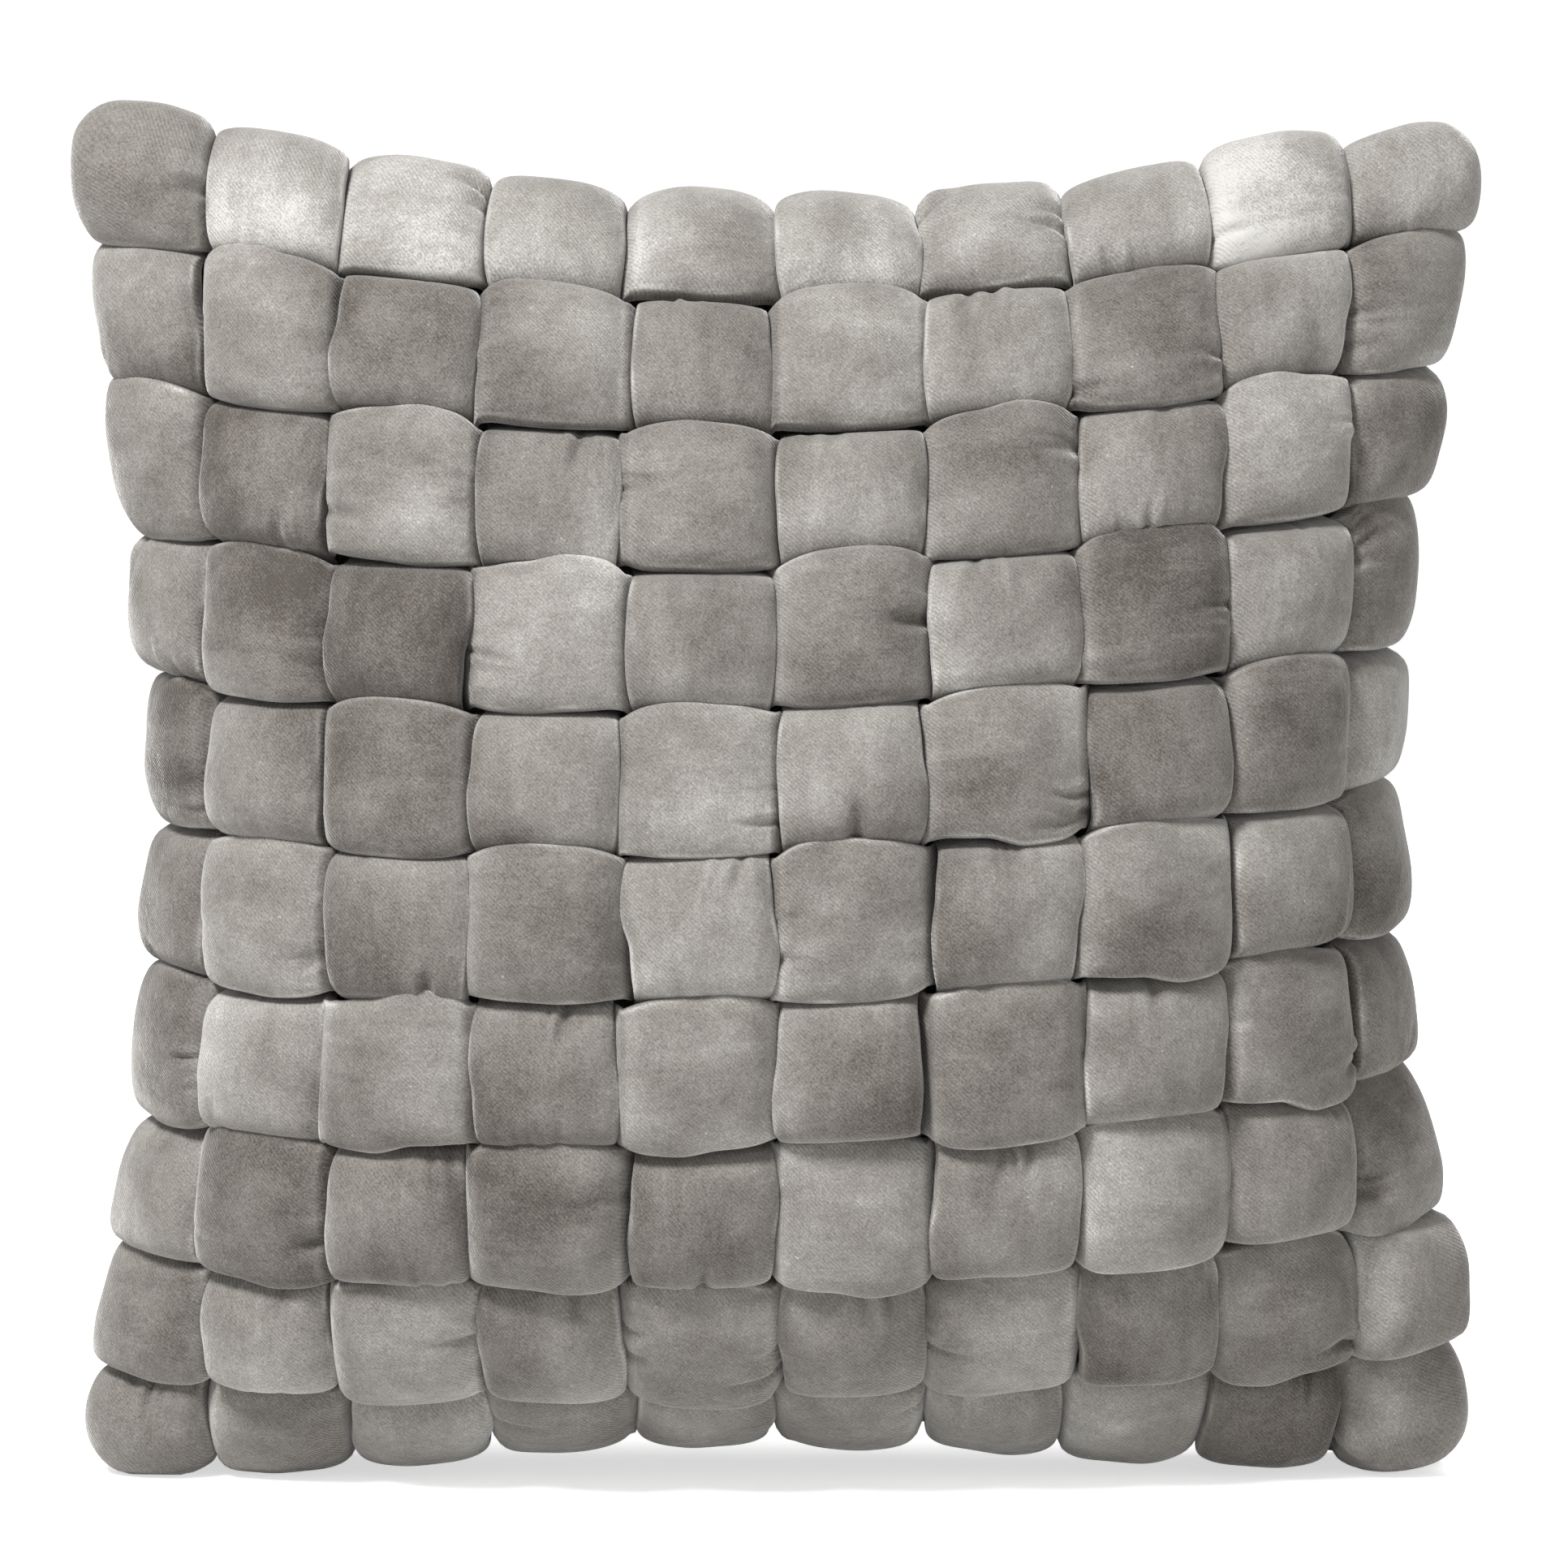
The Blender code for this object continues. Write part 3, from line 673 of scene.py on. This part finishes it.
def weave(look):
    rng = np.random.default_rng(7)
    tones = tile_tones()
    for column in range(1, STRIPS + 1):
        on_top = [(row + column) % 2 == 1 for row in range(STRIPS, 0, -1)]
        swell = [PUFFY_TILES.get((row, column), 0.0) for row in range(STRIPS, 0, -1)]
        build_strip(f"warp_strip_{column:02d}", -1.0 + (column - 0.5) * PITCH, on_top, True,
                    tones[::-1, column - 1], swell, rng, look)
    for row in range(1, STRIPS + 1):
        on_top = [(row + column) % 2 == 0 for column in range(1, STRIPS + 1)]
        swell = [PUFFY_TILES.get((row, column), 0.0) for column in range(1, STRIPS + 1)]
        build_strip(f"weft_strip_{row:02d}", 1.0 - (row - 0.5) * PITCH, on_top, False,
                    tones[row - 1], swell, rng, look)


def build_strip(node, centre, on_top, upright, tones, swell, rng, look):
    mesh = tube_mesh(node, *strip_rings(centre, on_top, upright, tones, swell, rng))
    outward(mesh)
    piece = add_piece("velvet_" + node, mesh, look)
    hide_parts(node)


def back_surface(u, v):
    """The plain back, held straight and upright along the zip."""
    floor = -BACK_PRESS + (WEAVE_FLOOR + BACK_PRESS) * smooth_step(0.95, 1.0, -v)
    place = cloth(u, v, BACK_DEPTH, BACK_ROLL, BACK_PLANE, 0.0, floor, facing=1.0)
    place[..., 1] = ZIP_FACE + (place[..., 1] - ZIP_FACE) * off_zip(place)
    return place


def off_zip(place):
    """0 along the straight zip, rising to 1 where the cloth swells freely."""
    rise = place[..., 2] - ZIP_Z
    beyond = np.maximum(np.abs(place[..., 0]) - ZIP_END - 0.004, 0.0) / ZIP_SIDE_BLEND
    over = np.maximum(np.abs(rise) - ZIP_BAND, 0.0) / np.where(rise > 0.0, ZIP_TOP_BLEND, ZIP_BLEND)
    return smooth_step(0.0, 1.0, np.hypot(beyond, over))


def v_at_height(u, height):
    """Where columns u of the back reach a height, found by halving."""
    low, high = np.full_like(u, -0.95), np.full_like(u, 0.4)
    for _ in range(40):
        middle = (low + high) / 2
        below = back_surface(u, middle)[..., 2] < height
        low, high = np.where(below, middle, low), np.where(below, high, middle)
    return low


def crumples(rng, u, v, place):
    """How far crushed, stuffed cloth stands off its smooth shape: soft dents, seam puckers, ear folds."""
    dents = (0.0022 * rumple(rng, u, v, 7, 7) + 0.0012 * rumple(rng, u, v, 16, 14)
             + 0.0004 * rumple(rng, u, v, 40, 36))
    from_side = (1.0 - np.abs(u)) * HALF_WIDTH_MIDDLE
    from_end = (1.0 - np.abs(v)) * TOP_MIDDLE / 2
    puckers = (np.exp(-from_side / 0.020) * smooth_step(0.0, 0.004, from_side)
               * rumple(rng, v, 0.0 * u + np.sign(u) * 0.5, 44, 3)
               + np.where(v > 0, 1.0, 0.4) * np.exp(-from_end / 0.020) * smooth_step(0.0, 0.004, from_end)
               * rumple(rng, u, 0.0 * v + np.sign(v) * 0.5, 50, 3))
    folds = 0.0 * dents
    for side in (-1.0, 1.0):
        for end in (-1.0, 1.0):
            x, z = (1.0 - side * u) * 0.23, (1.0 - end * v) * 0.22
            away = np.hypot(x, z)
            turn = np.arctan2(z, x)
            waves = np.sin(9.0 * turn + rng.uniform(0, 6.3))
            waves = waves + 0.6 * np.sin(17.0 * turn + rng.uniform(0, 6.3))
            folds = folds + waves * np.exp(-away / 0.050) * smooth_step(0.008, 0.040, away)
    from_seam = smooth_step(0.0, 0.004, 1.0 - np.abs(u))
    return (dents + 0.0034 * puckers + 0.0030 * folds) * off_zip(place) * from_seam


def skin(name, outer, inner, attributes):
    """A thin closed sheet between an outer and an inner grid of points."""
    columns, rows = outer.shape[:2]
    rim = [(i, 0) for i in range(columns)] + [(columns - 1, j) for j in range(1, rows)]
    rim += [(i, rows - 1) for i in range(columns - 2, -1, -1)] + [(0, j) for j in range(rows - 2, 0, -1)]
    count = columns * rows
    grid = np.arange(count).reshape(columns, rows)
    a, b, c, d = grid[:-1, :-1], grid[1:, :-1], grid[1:, 1:], grid[:-1, 1:]
    outside = np.stack((a, b, c, d), axis=-1).reshape(-1, 4)
    faces = outside.tolist() + (outside[:, ::-1] + count).tolist()
    edge = [int(grid[place]) for place in rim]
    for first, second in zip(edge, edge[1:] + edge[:1]):
        faces.append((second, first, first + count, second + count))
    mesh = bpy.data.meshes.new(name)
    mesh.from_pydata(np.concatenate((outer.reshape(-1, 3), inner.reshape(-1, 3))).tolist(), [], faces)
    mesh.update()
    for label, values in attributes.items():
        flat = np.broadcast_to(values, (columns, rows)).reshape(-1)
        mesh.attributes.new(label, "FLOAT", "POINT").data.foreach_set(
            "value", np.concatenate((flat, flat)).astype(np.float32))
    mesh.shade_smooth()
    outward(mesh)
    return mesh


def back_panels(look):
    crowded = np.sin(np.linspace(-EDGE_CROWDING, EDGE_CROWDING, 181)) / math.sin(EDGE_CROWDING)
    u = SEAM_END * crowded
    half = np.linspace(0.0, SEAM_END, 200)
    zip_end = np.interp(ZIP_END + np.linspace(-0.006, 0.009, 17),
                        back_surface(half, v_at_height(half, ZIP_Z))[..., 0], half)
    u = np.unique(np.concatenate((u, zip_end, -zip_end)))
    from_middle = np.abs(back_surface(u, v_at_height(u, ZIP_Z))[..., 0])
    closing = 1.0 - smooth_step(ZIP_END - 0.0030, ZIP_END + 0.0060, from_middle)
    for name, sign, end, rows in (("upper", 1.0, SEAM_END, 120), ("lower", -1.0, -SEAM_END, 50)):
        lifts = np.linspace(0.0, 1.0, HEM_ROWS)[:, None] ** 1.5
        opening = 0.0002 + ZIP_WINDOW * closing
        heights = ZIP_Z + sign * (opening + (ZIP_BAND + ZIP_BLEND / 2 - opening) * lifts)
        hem = np.array([v_at_height(u, height) for height in heights])
        crowded = np.sin(np.linspace(0.0, EDGE_CROWDING, rows)) / math.sin(EDGE_CROWDING)
        rest = hem[-1] + (end - hem[-1]) * crowded[1:, None]
        v = np.concatenate((hem, rest)).T
        across = u[:, None] + 0.0 * v
        place = back_surface(across, v)
        face = normals(back_surface, across, v, 1.0)
        rng = np.random.default_rng(31)
        lift = crumples(rng, across, v, place)
        from_hem = np.abs(place[..., 2] - ZIP_Z) - opening[:, None]
        seam_dip = -0.0009 * np.exp(-(((from_hem - 0.0040) / 0.0011) ** 2))
        rounding = -0.0007 * smooth_step(0.0012, 0.0, from_hem)
        beside_zip = closing[:, None] > 0.5
        outer = place + face * (lift + np.where(beside_zip, seam_dip + rounding, 0.0))[..., None]
        inner = place + face * (lift - BACK_CLOTH)[..., None]
        outer[..., 2] = np.maximum(outer[..., 2], 0.0002)
        inner[..., 2] = np.maximum(inner[..., 2], BACK_CLOTH)
        brushed = (0.54 + 0.09 * rumple(rng, across, v, 9, 9) + 0.07 * rumple(rng, across, v, 26, 24)
                   + 0.05 * rumple(rng, across, v, 70, 60))
        mesh = skin("back_" + name, outer, inner, {
            "tone": brushed,
            # painted highlight on the raised crumples and on the hem beside the zip, painted shade in the
            # dents
            "rim": np.clip(lift / 0.002, 0.0, 0.5) + 0.5 * smooth_step(0.0022, 0.0, from_hem) * beside_zip,
            "painted_shade": np.clip(-lift / 0.004, 0.0, 0.6),
            "along": across * FLAT_SCALE,
            "across": v * FLAT_SCALE,
            "strip": 0.37,
        })
        piece = add_piece("velvet_back_" + name, mesh, look)
        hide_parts("back_panel_" + name)


def block(centre, half, power=5.0):
    """A box with rounded edges and faces, as points and faces."""
    turns = np.linspace(0.0, 2.0 * math.pi, 16, endpoint=False)
    tilts = np.linspace(-math.pi / 2, math.pi / 2, 9)[1:-1]

    def rounded(x):
        return np.sign(x) * np.abs(x) ** (2.0 / power)

    points = [(0.0, 0.0, -1.0)]
    for tilt in tilts:
        for turn in turns:
            points.append((rounded(np.cos(tilt)) * rounded(np.cos(turn)),
                           rounded(np.cos(tilt)) * rounded(np.sin(turn)), rounded(np.sin(tilt))))
    points.append((0.0, 0.0, 1.0))
    faces = []
    for k in range(16):
        after = (k + 1) % 16
        faces.append((0, 1 + after, 1 + k))
        for ring in range(len(tilts) - 1):
            low, high = 1 + ring * 16, 1 + (ring + 1) * 16
            faces.append((low + k, low + after, high + after, high + k))
        last = 1 + (len(tilts) - 1) * 16
        faces.append((last + k, last + after, len(points) - 1))
    return np.array(points) * np.array(half) + np.array(centre), faces


def pierced_plate(outer, inner, low, high, bevel, axis):
    """A flat ring between two outlines with as many points each, its edges bevelled."""
    outer, inner = np.array(outer), np.array(inner)
    out = (outer - inner) / np.linalg.norm(outer - inner, axis=1, keepdims=True)
    section = ((inner, low + bevel), (inner + out * bevel, low), (outer - out * bevel, low),
               (outer, low + bevel), (outer, high - bevel), (outer - out * bevel, high),
               (inner + out * bevel, high), (inner, high - bevel))
    points = np.zeros((len(outer), 8, 3))
    flat = [k for k in range(3) if k != axis]
    for j, (outline, level) in enumerate(section):
        points[:, j, flat] = outline
        points[:, j, axis] = level
    faces = []
    for i in range(len(outer)):
        after = (i + 1) % len(outer)
        for j in range(8):
            following = (j + 1) % 8
            faces.append((i * 8 + j, after * 8 + j, after * 8 + following, i * 8 + following))
    return points.reshape(-1, 3), faces


def rod(centre, axis, radius, half_length, rounding=0.0002):
    """A round rod along an axis with rounded ends."""
    turns = np.linspace(0.0, 2.0 * math.pi, 20, endpoint=False)
    flat = [k for k in range(3) if k != axis]
    points, faces = [], []
    stops = ((-half_length, 0.55), (-half_length + rounding, 1.0), (half_length - rounding, 1.0),
             (half_length, 0.55))
    for place, share in stops:
        for turn in turns:
            point = [0.0, 0.0, 0.0]
            point[flat[0]], point[flat[1]] = radius * share * math.cos(turn), radius * share * math.sin(turn)
            point[axis] = place
            points.append(point)
    for ring in range(3):
        for k in range(20):
            after = (k + 1) % 20
            faces.append((ring * 20 + k, ring * 20 + after, (ring + 1) * 20 + after, (ring + 1) * 20 + k))
    faces.append(tuple(range(19, -1, -1)))
    faces.append(tuple(range(60, 80)))
    return np.array(points) + np.array(centre), faces


def joined(name, shapes):
    points, faces, count = [], [], 0
    for verts, loops in shapes:
        points.extend(verts.tolist())
        faces.extend(tuple(index + count for index in loop) for loop in loops)
        count += len(verts)
    mesh = bpy.data.meshes.new(name)
    mesh.from_pydata(points, [], faces)
    mesh.update()
    shape = bmesh.new()
    shape.from_mesh(mesh)
    bmesh.ops.recalc_face_normals(shape, faces=shape.faces)
    shape.to_mesh(mesh)
    shape.free()
    mesh.shade_smooth()
    mesh.set_sharp_from_angle(angle=math.radians(38))
    return mesh


def stadium(middle, half_length, radius, count=48):
    """An outline of a slot with round ends along X."""
    outline = []
    for turn in np.linspace(0.0, 2.0 * math.pi, count, endpoint=False):
        shift = half_length * np.clip(np.cos(turn) * 1.6, -1.0, 1.0)
        outline.append((middle[0] + shift + radius * math.cos(turn), middle[1] + radius * math.sin(turn)))
    return outline


def zip_tapes(look, teeth_look):
    for name, sign in (("upper", 1.0), ("lower", -1.0)):
        x = np.linspace(-ZIP_END - TAPE_OVERRUN, ZIP_END + TAPE_OVERRUN, 161)[:, None]
        out = np.linspace(TEETH_GAP, 0.0135, 12)[None, :]
        ribs = 0.00006 * np.cos(out / 0.0022 * 2.0 * math.pi) + 0.0 * x
        grid = np.stack((x + 0.0 * out, TAPE_HIGH[1] - 0.0001 + ribs, ZIP_Z + sign * out + 0.0 * x), axis=-1)
        mesh = skin("tape", grid, grid - np.array((0.0, 0.0006, 0.0)), {"along": x, "across": sign * out})
        piece = add_piece("woven_tape_" + name, mesh, look)
        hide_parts("zip_tape_" + name)

        low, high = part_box("zip_teeth_" + name)
        middle_y = (low[1] + high[1]) / 2
        count = int((high[0] - low[0]) / TOOTH_PITCH) - 1
        teeth = []
        for k in range(count):
            place = low[0] + 0.0012 + (k + (0.5 if sign > 0 else 0.0)) * TOOTH_PITCH
            teeth.append(block((place, middle_y, ZIP_Z + sign * 0.0016), (0.00062, 0.00095, 0.0012), 3.0))
        cord = block(((low[0] + high[0]) / 2, low[1] + 0.0006, ZIP_Z + sign * 0.0026),
                     ((high[0] - low[0]) / 2, 0.0005, 0.0005), 2.2)
        piece = add_piece("coil_" + name, joined("coil_" + name, teeth + [cord]), teeth_look)
        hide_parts("zip_teeth_" + name)


def zip_metal(look):
    for name in ("open_end", "closed_end"):
        low, high = (np.array(corner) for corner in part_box("zip_stop_" + name))
        middle, half = (low + high) / 2, (high - low) / 2
        bar = block(middle, half, 5.0)
        claws = [block(middle + np.array((0.0, -0.0001, side * half[2] * 0.55)),
                       (half[0] * 1.04, half[1] * 1.04, half[2] * 0.32), 4.0) for side in (-1.0, 1.0)]
        piece = add_piece("stop_" + name, joined("stop_" + name, [bar] + claws), look)
        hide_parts("zip_stop_" + name)

    low, high = (np.array(corner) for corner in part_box("zip_slider"))
    middle = (low + high) / 2
    half_x, half_z = (high[0] - low[0]) / 2, (high[2] - low[2]) / 2
    turns = np.linspace(0.0, 2.0 * math.pi, 64, endpoint=False)
    shield = []
    for turn in turns:
        x, z = math.copysign(abs(math.cos(turn)) ** 0.45, math.cos(turn)), math.sin(turn)
        z = math.copysign(abs(z) ** 0.55, z)
        waist = 1.0 - 0.22 * float(smooth_step(0.2, -0.9, x))
        shield.append((middle[0] + half_x * x, ZIP_Z + half_z * z * waist))
    core = [(middle[0] + 0.15 * (x - middle[0]), ZIP_Z + 0.15 * (z - ZIP_Z)) for x, z in shield]
    top = ZIP_FACE + 0.0008
    parts = [
        pierced_plate(shield, core, top, top + 0.0012, 0.00035, 1),
        block((middle[0], top + 0.0006, ZIP_Z), (half_x * 0.32, 0.00058, half_z * 0.32), 4.0),
        pierced_plate(shield, core, low[1], low[1] + 0.0012, 0.00035, 1),
        block((middle[0], low[1] + 0.0006, ZIP_Z), (half_x * 0.32, 0.00058, half_z * 0.32), 4.0),
        block((middle[0] + 0.0010, (low[1] + top) / 2 + 0.0006, ZIP_Z), (0.0014, 0.0022, 0.00035), 4.0),
    ]
    for side in (-1.0, 1.0):
        parts.append(block((middle[0] + 0.0004, top - 0.0007, ZIP_Z + side * (half_z - 0.0005)),
                           (half_x * 0.80, 0.0013, 0.00045), 5.0))
        parts.append(block((middle[0], top + 0.0030, ZIP_Z + side * (half_z - 0.0007)),
                           (0.0017, 0.0024, 0.00048), 3.5))
    pivot = (middle[0], ZIP_FACE + 0.0040, ZIP_Z)
    parts.append(rod(pivot, 2, 0.0005, half_z - 0.0004))
    piece = add_piece("slider_body", joined("slider_body", parts), look, "slider")
    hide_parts("zip_slider")

    eye_outer = [(pivot[0] + 0.0015 * math.cos(turn), pivot[1] + 0.0015 * math.sin(turn)) for turn in turns]
    eye_inner = [(pivot[0] + 0.0008 * math.cos(turn), pivot[1] + 0.0008 * math.sin(turn)) for turn in turns]
    blade = stadium((pivot[0] - 0.0160, ZIP_Z), 0.0049, 0.0031, 64)
    window = stadium((pivot[0] - 0.0178, ZIP_Z), 0.0022, 0.0013, 64)
    rim_inner = stadium((pivot[0] - 0.0160, ZIP_Z), 0.0047, 0.0024, 64)
    parts = [
        pierced_plate(eye_outer, eye_inner, ZIP_Z - 0.0021, ZIP_Z + 0.0021, 0.00025, 2),
        block((pivot[0] - 0.0052, pivot[1], ZIP_Z), (0.0042, 0.00052, 0.0020), 6.0),
        pierced_plate(blade, window, pivot[1] - 0.00042, pivot[1] + 0.00042, 0.0002, 1),
        pierced_plate(blade, rim_inner, pivot[1] - 0.0006, pivot[1] + 0.0006, 0.00018, 1),
    ]
    piece = add_piece("pull_body", joined("pull_body", parts), look, "pull")
    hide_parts("zip_pull_tab")


def stitching(look):
    """Rows of thread that hold the tapes to the back panels."""
    stitches = []
    for sign in (-1.0, 1.0):
        for x in np.arange(-ZIP_END + 0.001, ZIP_END - 0.001, STITCH_PITCH):
            stitches.append(block((x, ZIP_FACE - 0.00065, ZIP_Z + sign * (ZIP_WINDOW + 0.0042)),
                                  (0.0015, 0.00032, 0.00028), 2.2))
    piece = add_piece("zip_stitching", joined("zip_stitching", stitches), look)


def hidden_sheets(cotton, ticking):
    """The lining behind the weave and the two sides of the insert's case."""
    layers = (
        ("front_lining", cotton, "backing_cloth", LINING_DEPTH, LINING_ROLL, LINING_PLANE, LINING_INSET,
         LINING_FLOOR, -1.0),
        ("insert_ticking_front", ticking, "ticking", TICKING_FRONT_DEPTH, 0.0, INSERT_PLANE, TICKING_INSET,
         TICKING_FLOOR, -1.0),
        ("insert_ticking_back", ticking, "ticking", TICKING_BACK_DEPTH, 0.0, INSERT_PLANE + 0.002,
         TICKING_INSET, TICKING_FLOOR, 1.0),
    )
    rng = np.random.default_rng(5)
    line = np.linspace(-SEAM_END, SEAM_END, 81)
    u, v = line[:, None] + 0.0 * line[None, :], line[None, :] + 0.0 * line[:, None]
    for node, look, slot, depth, roll, plane, inset, floor, facing in layers:
        def surface(u, v):
            return cloth(u, v, depth, roll, plane, inset, floor, facing)
        place = surface(u, v)
        face = normals(surface, u, v, facing)
        edge = smooth_step(0.0, 0.08, 1.0 - np.maximum(np.abs(u), np.abs(v)))
        hills = 0.0010 * rumple(rng, u, v, 10, 10) + 0.0005 * rumple(rng, u, v, 30, 30)
        lift = hills * edge - 0.0010 * edge
        mesh = skin(node, place + face * lift[..., None], place + face * (lift - 0.0010)[..., None],
                    {"along": u * FLAT_SCALE, "across": v * FLAT_SCALE})
        piece = add_piece("cloth_" + node, mesh, look)
        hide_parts(node)


def fill(look):
    """The loose fibre inside the insert: a lumpy cushion just inside its case."""
    rng = np.random.default_rng(9)
    line = np.linspace(-0.97, 0.97, 61)
    u, v = line[:, None] + 0.0 * line[None, :], line[None, :] + 0.0 * line[:, None]
    sides = []
    for depth, plane, facing in ((TICKING_FRONT_DEPTH, INSERT_PLANE + 0.0007, -1.0),
                                 (TICKING_BACK_DEPTH, INSERT_PLANE + 0.0013, 1.0)):
        place = cloth(u, v, depth - FILL_GAP, 0.0, plane, TICKING_INSET + FILL_GAP, TICKING_FLOOR + FILL_GAP,
                      facing)
        edge = smooth_step(0.0, 0.12, 0.97 - np.maximum(np.abs(u), np.abs(v)))
        lumps = (0.0018 * rumple(rng, u, v, 9, 9) + 0.0010 * rumple(rng, u, v, 24, 24) - 0.0025) * edge
        place[..., 1] += facing * lumps
        sides.append(place)
    mesh = skin("fill", sides[0], sides[1], {"along": u * FLAT_SCALE})
    piece = add_piece("fibre_insert_fill", mesh, look)
    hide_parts("insert_fill")


def stage():
    """A plain pale floor just under the pillow."""
    floor = bpy.data.objects.new("floor", bpy.data.meshes.new("floor"))
    reach = 6.0
    floor.data.from_pydata([(-reach, -reach, 0), (reach, -reach, 0), (reach, reach, 0), (-reach, reach, 0)],
                           [], [(0, 1, 2, 3)])
    bpy.context.scene.collection.objects.link(floor)
    look, nodes, links, shader = new_material("pale_floor", (0.90, 0.90, 0.90), 0.6)
    seen = nodes.new("ShaderNodeLightPath").outputs["Is Camera Ray"]
    shader.inputs["Emission Color"].default_value = (1.0, 1.0, 1.0, 1.0)
    links.new(maths(nodes, links, "MULTIPLY", seen, 0.62), shader.inputs["Emission Strength"])
    floor.data.materials.append(look)
    floor.location.z = LOW[2] - 0.0005


def area_light(name, place, aim, size, power):
    light = bpy.data.lights.new(name, "AREA")
    light.shape = "DISK"
    light.size = size
    light.energy = power
    lamp = bpy.data.objects.new(name, light)
    bpy.context.scene.collection.objects.link(lamp)
    lamp.location = place
    lamp.rotation_euler = (Vector(aim) - Vector(place)).to_track_quat("-Z", "Y").to_euler()


def studio():
    """A white room and three soft lights."""
    world = bpy.data.worlds.new("studio")
    bpy.context.scene.world = world
    world.use_nodes = True
    nodes, links = world.node_tree.nodes, world.node_tree.links
    sky = nodes["Background"]
    sky.inputs["Color"].default_value = (1.0, 1.0, 1.0, 1.0)
    seen = nodes.new("ShaderNodeLightPath").outputs["Is Camera Ray"]
    links.new(maths(nodes, links, "ADD", maths(nodes, links, "MULTIPLY", seen, 0.70), 0.40),
              sky.inputs["Strength"])
    middle = (0.0, 0.0, 0.22)
    area_light("key", (-0.9, -1.25, 1.9), middle, 0.6, 77.0)
    area_light("fill", (1.6, -1.6, 0.4), middle, 1.6, 10.0)
    area_light("back", (0.5, 2.0, 1.6), middle, 1.4, 22.0)
    bpy.context.scene.view_settings.view_transform = "Standard"
    bpy.context.scene.view_settings.look = "None"


def camera():
    """The photo's point of view: 1.9 m off, a little above, with 0.515 m of width in view at the seam."""
    distance = 1.9
    width_in_view = 0.515
    elevation = math.radians(4.5)
    view = bpy.data.cameras.new("camera")
    view.sensor_width = 36.0
    view.lens = view.sensor_width * distance / width_in_view
    eye = bpy.data.objects.new("camera", view)
    bpy.context.scene.collection.objects.link(eye)
    target = Vector((0.0026, SEAM_Y, 0.2245))
    eye.location = target + Vector((0.0, -distance * math.cos(elevation), distance * math.sin(elevation)))
    eye.rotation_euler = (target - eye.location).to_track_quat("-Z", "Y").to_euler()
    bpy.context.scene.camera = eye


camera()
studio()
stage()
weave(velvet("velvet_pile"))
back_panels(velvet("velvet_back", 0.30))
zip_tapes(woven("zip_tape_weave", (0.23, 0.215, 0.195), 2600.0), nylon("zip_nylon", (0.23, 0.215, 0.195)))
zip_metal(metal("satin_nickel", (0.56, 0.54, 0.50)))
stitching(woven("thread", (0.34, 0.32, 0.295), 5000.0))
hidden_sheets(woven("backing_cotton", (0.62, 0.59, 0.54), 1400.0),
              woven("ticking_cotton", (0.80, 0.79, 0.76), 2400.0))
fill(fibre("loose_fibre", (0.86, 0.855, 0.84)))
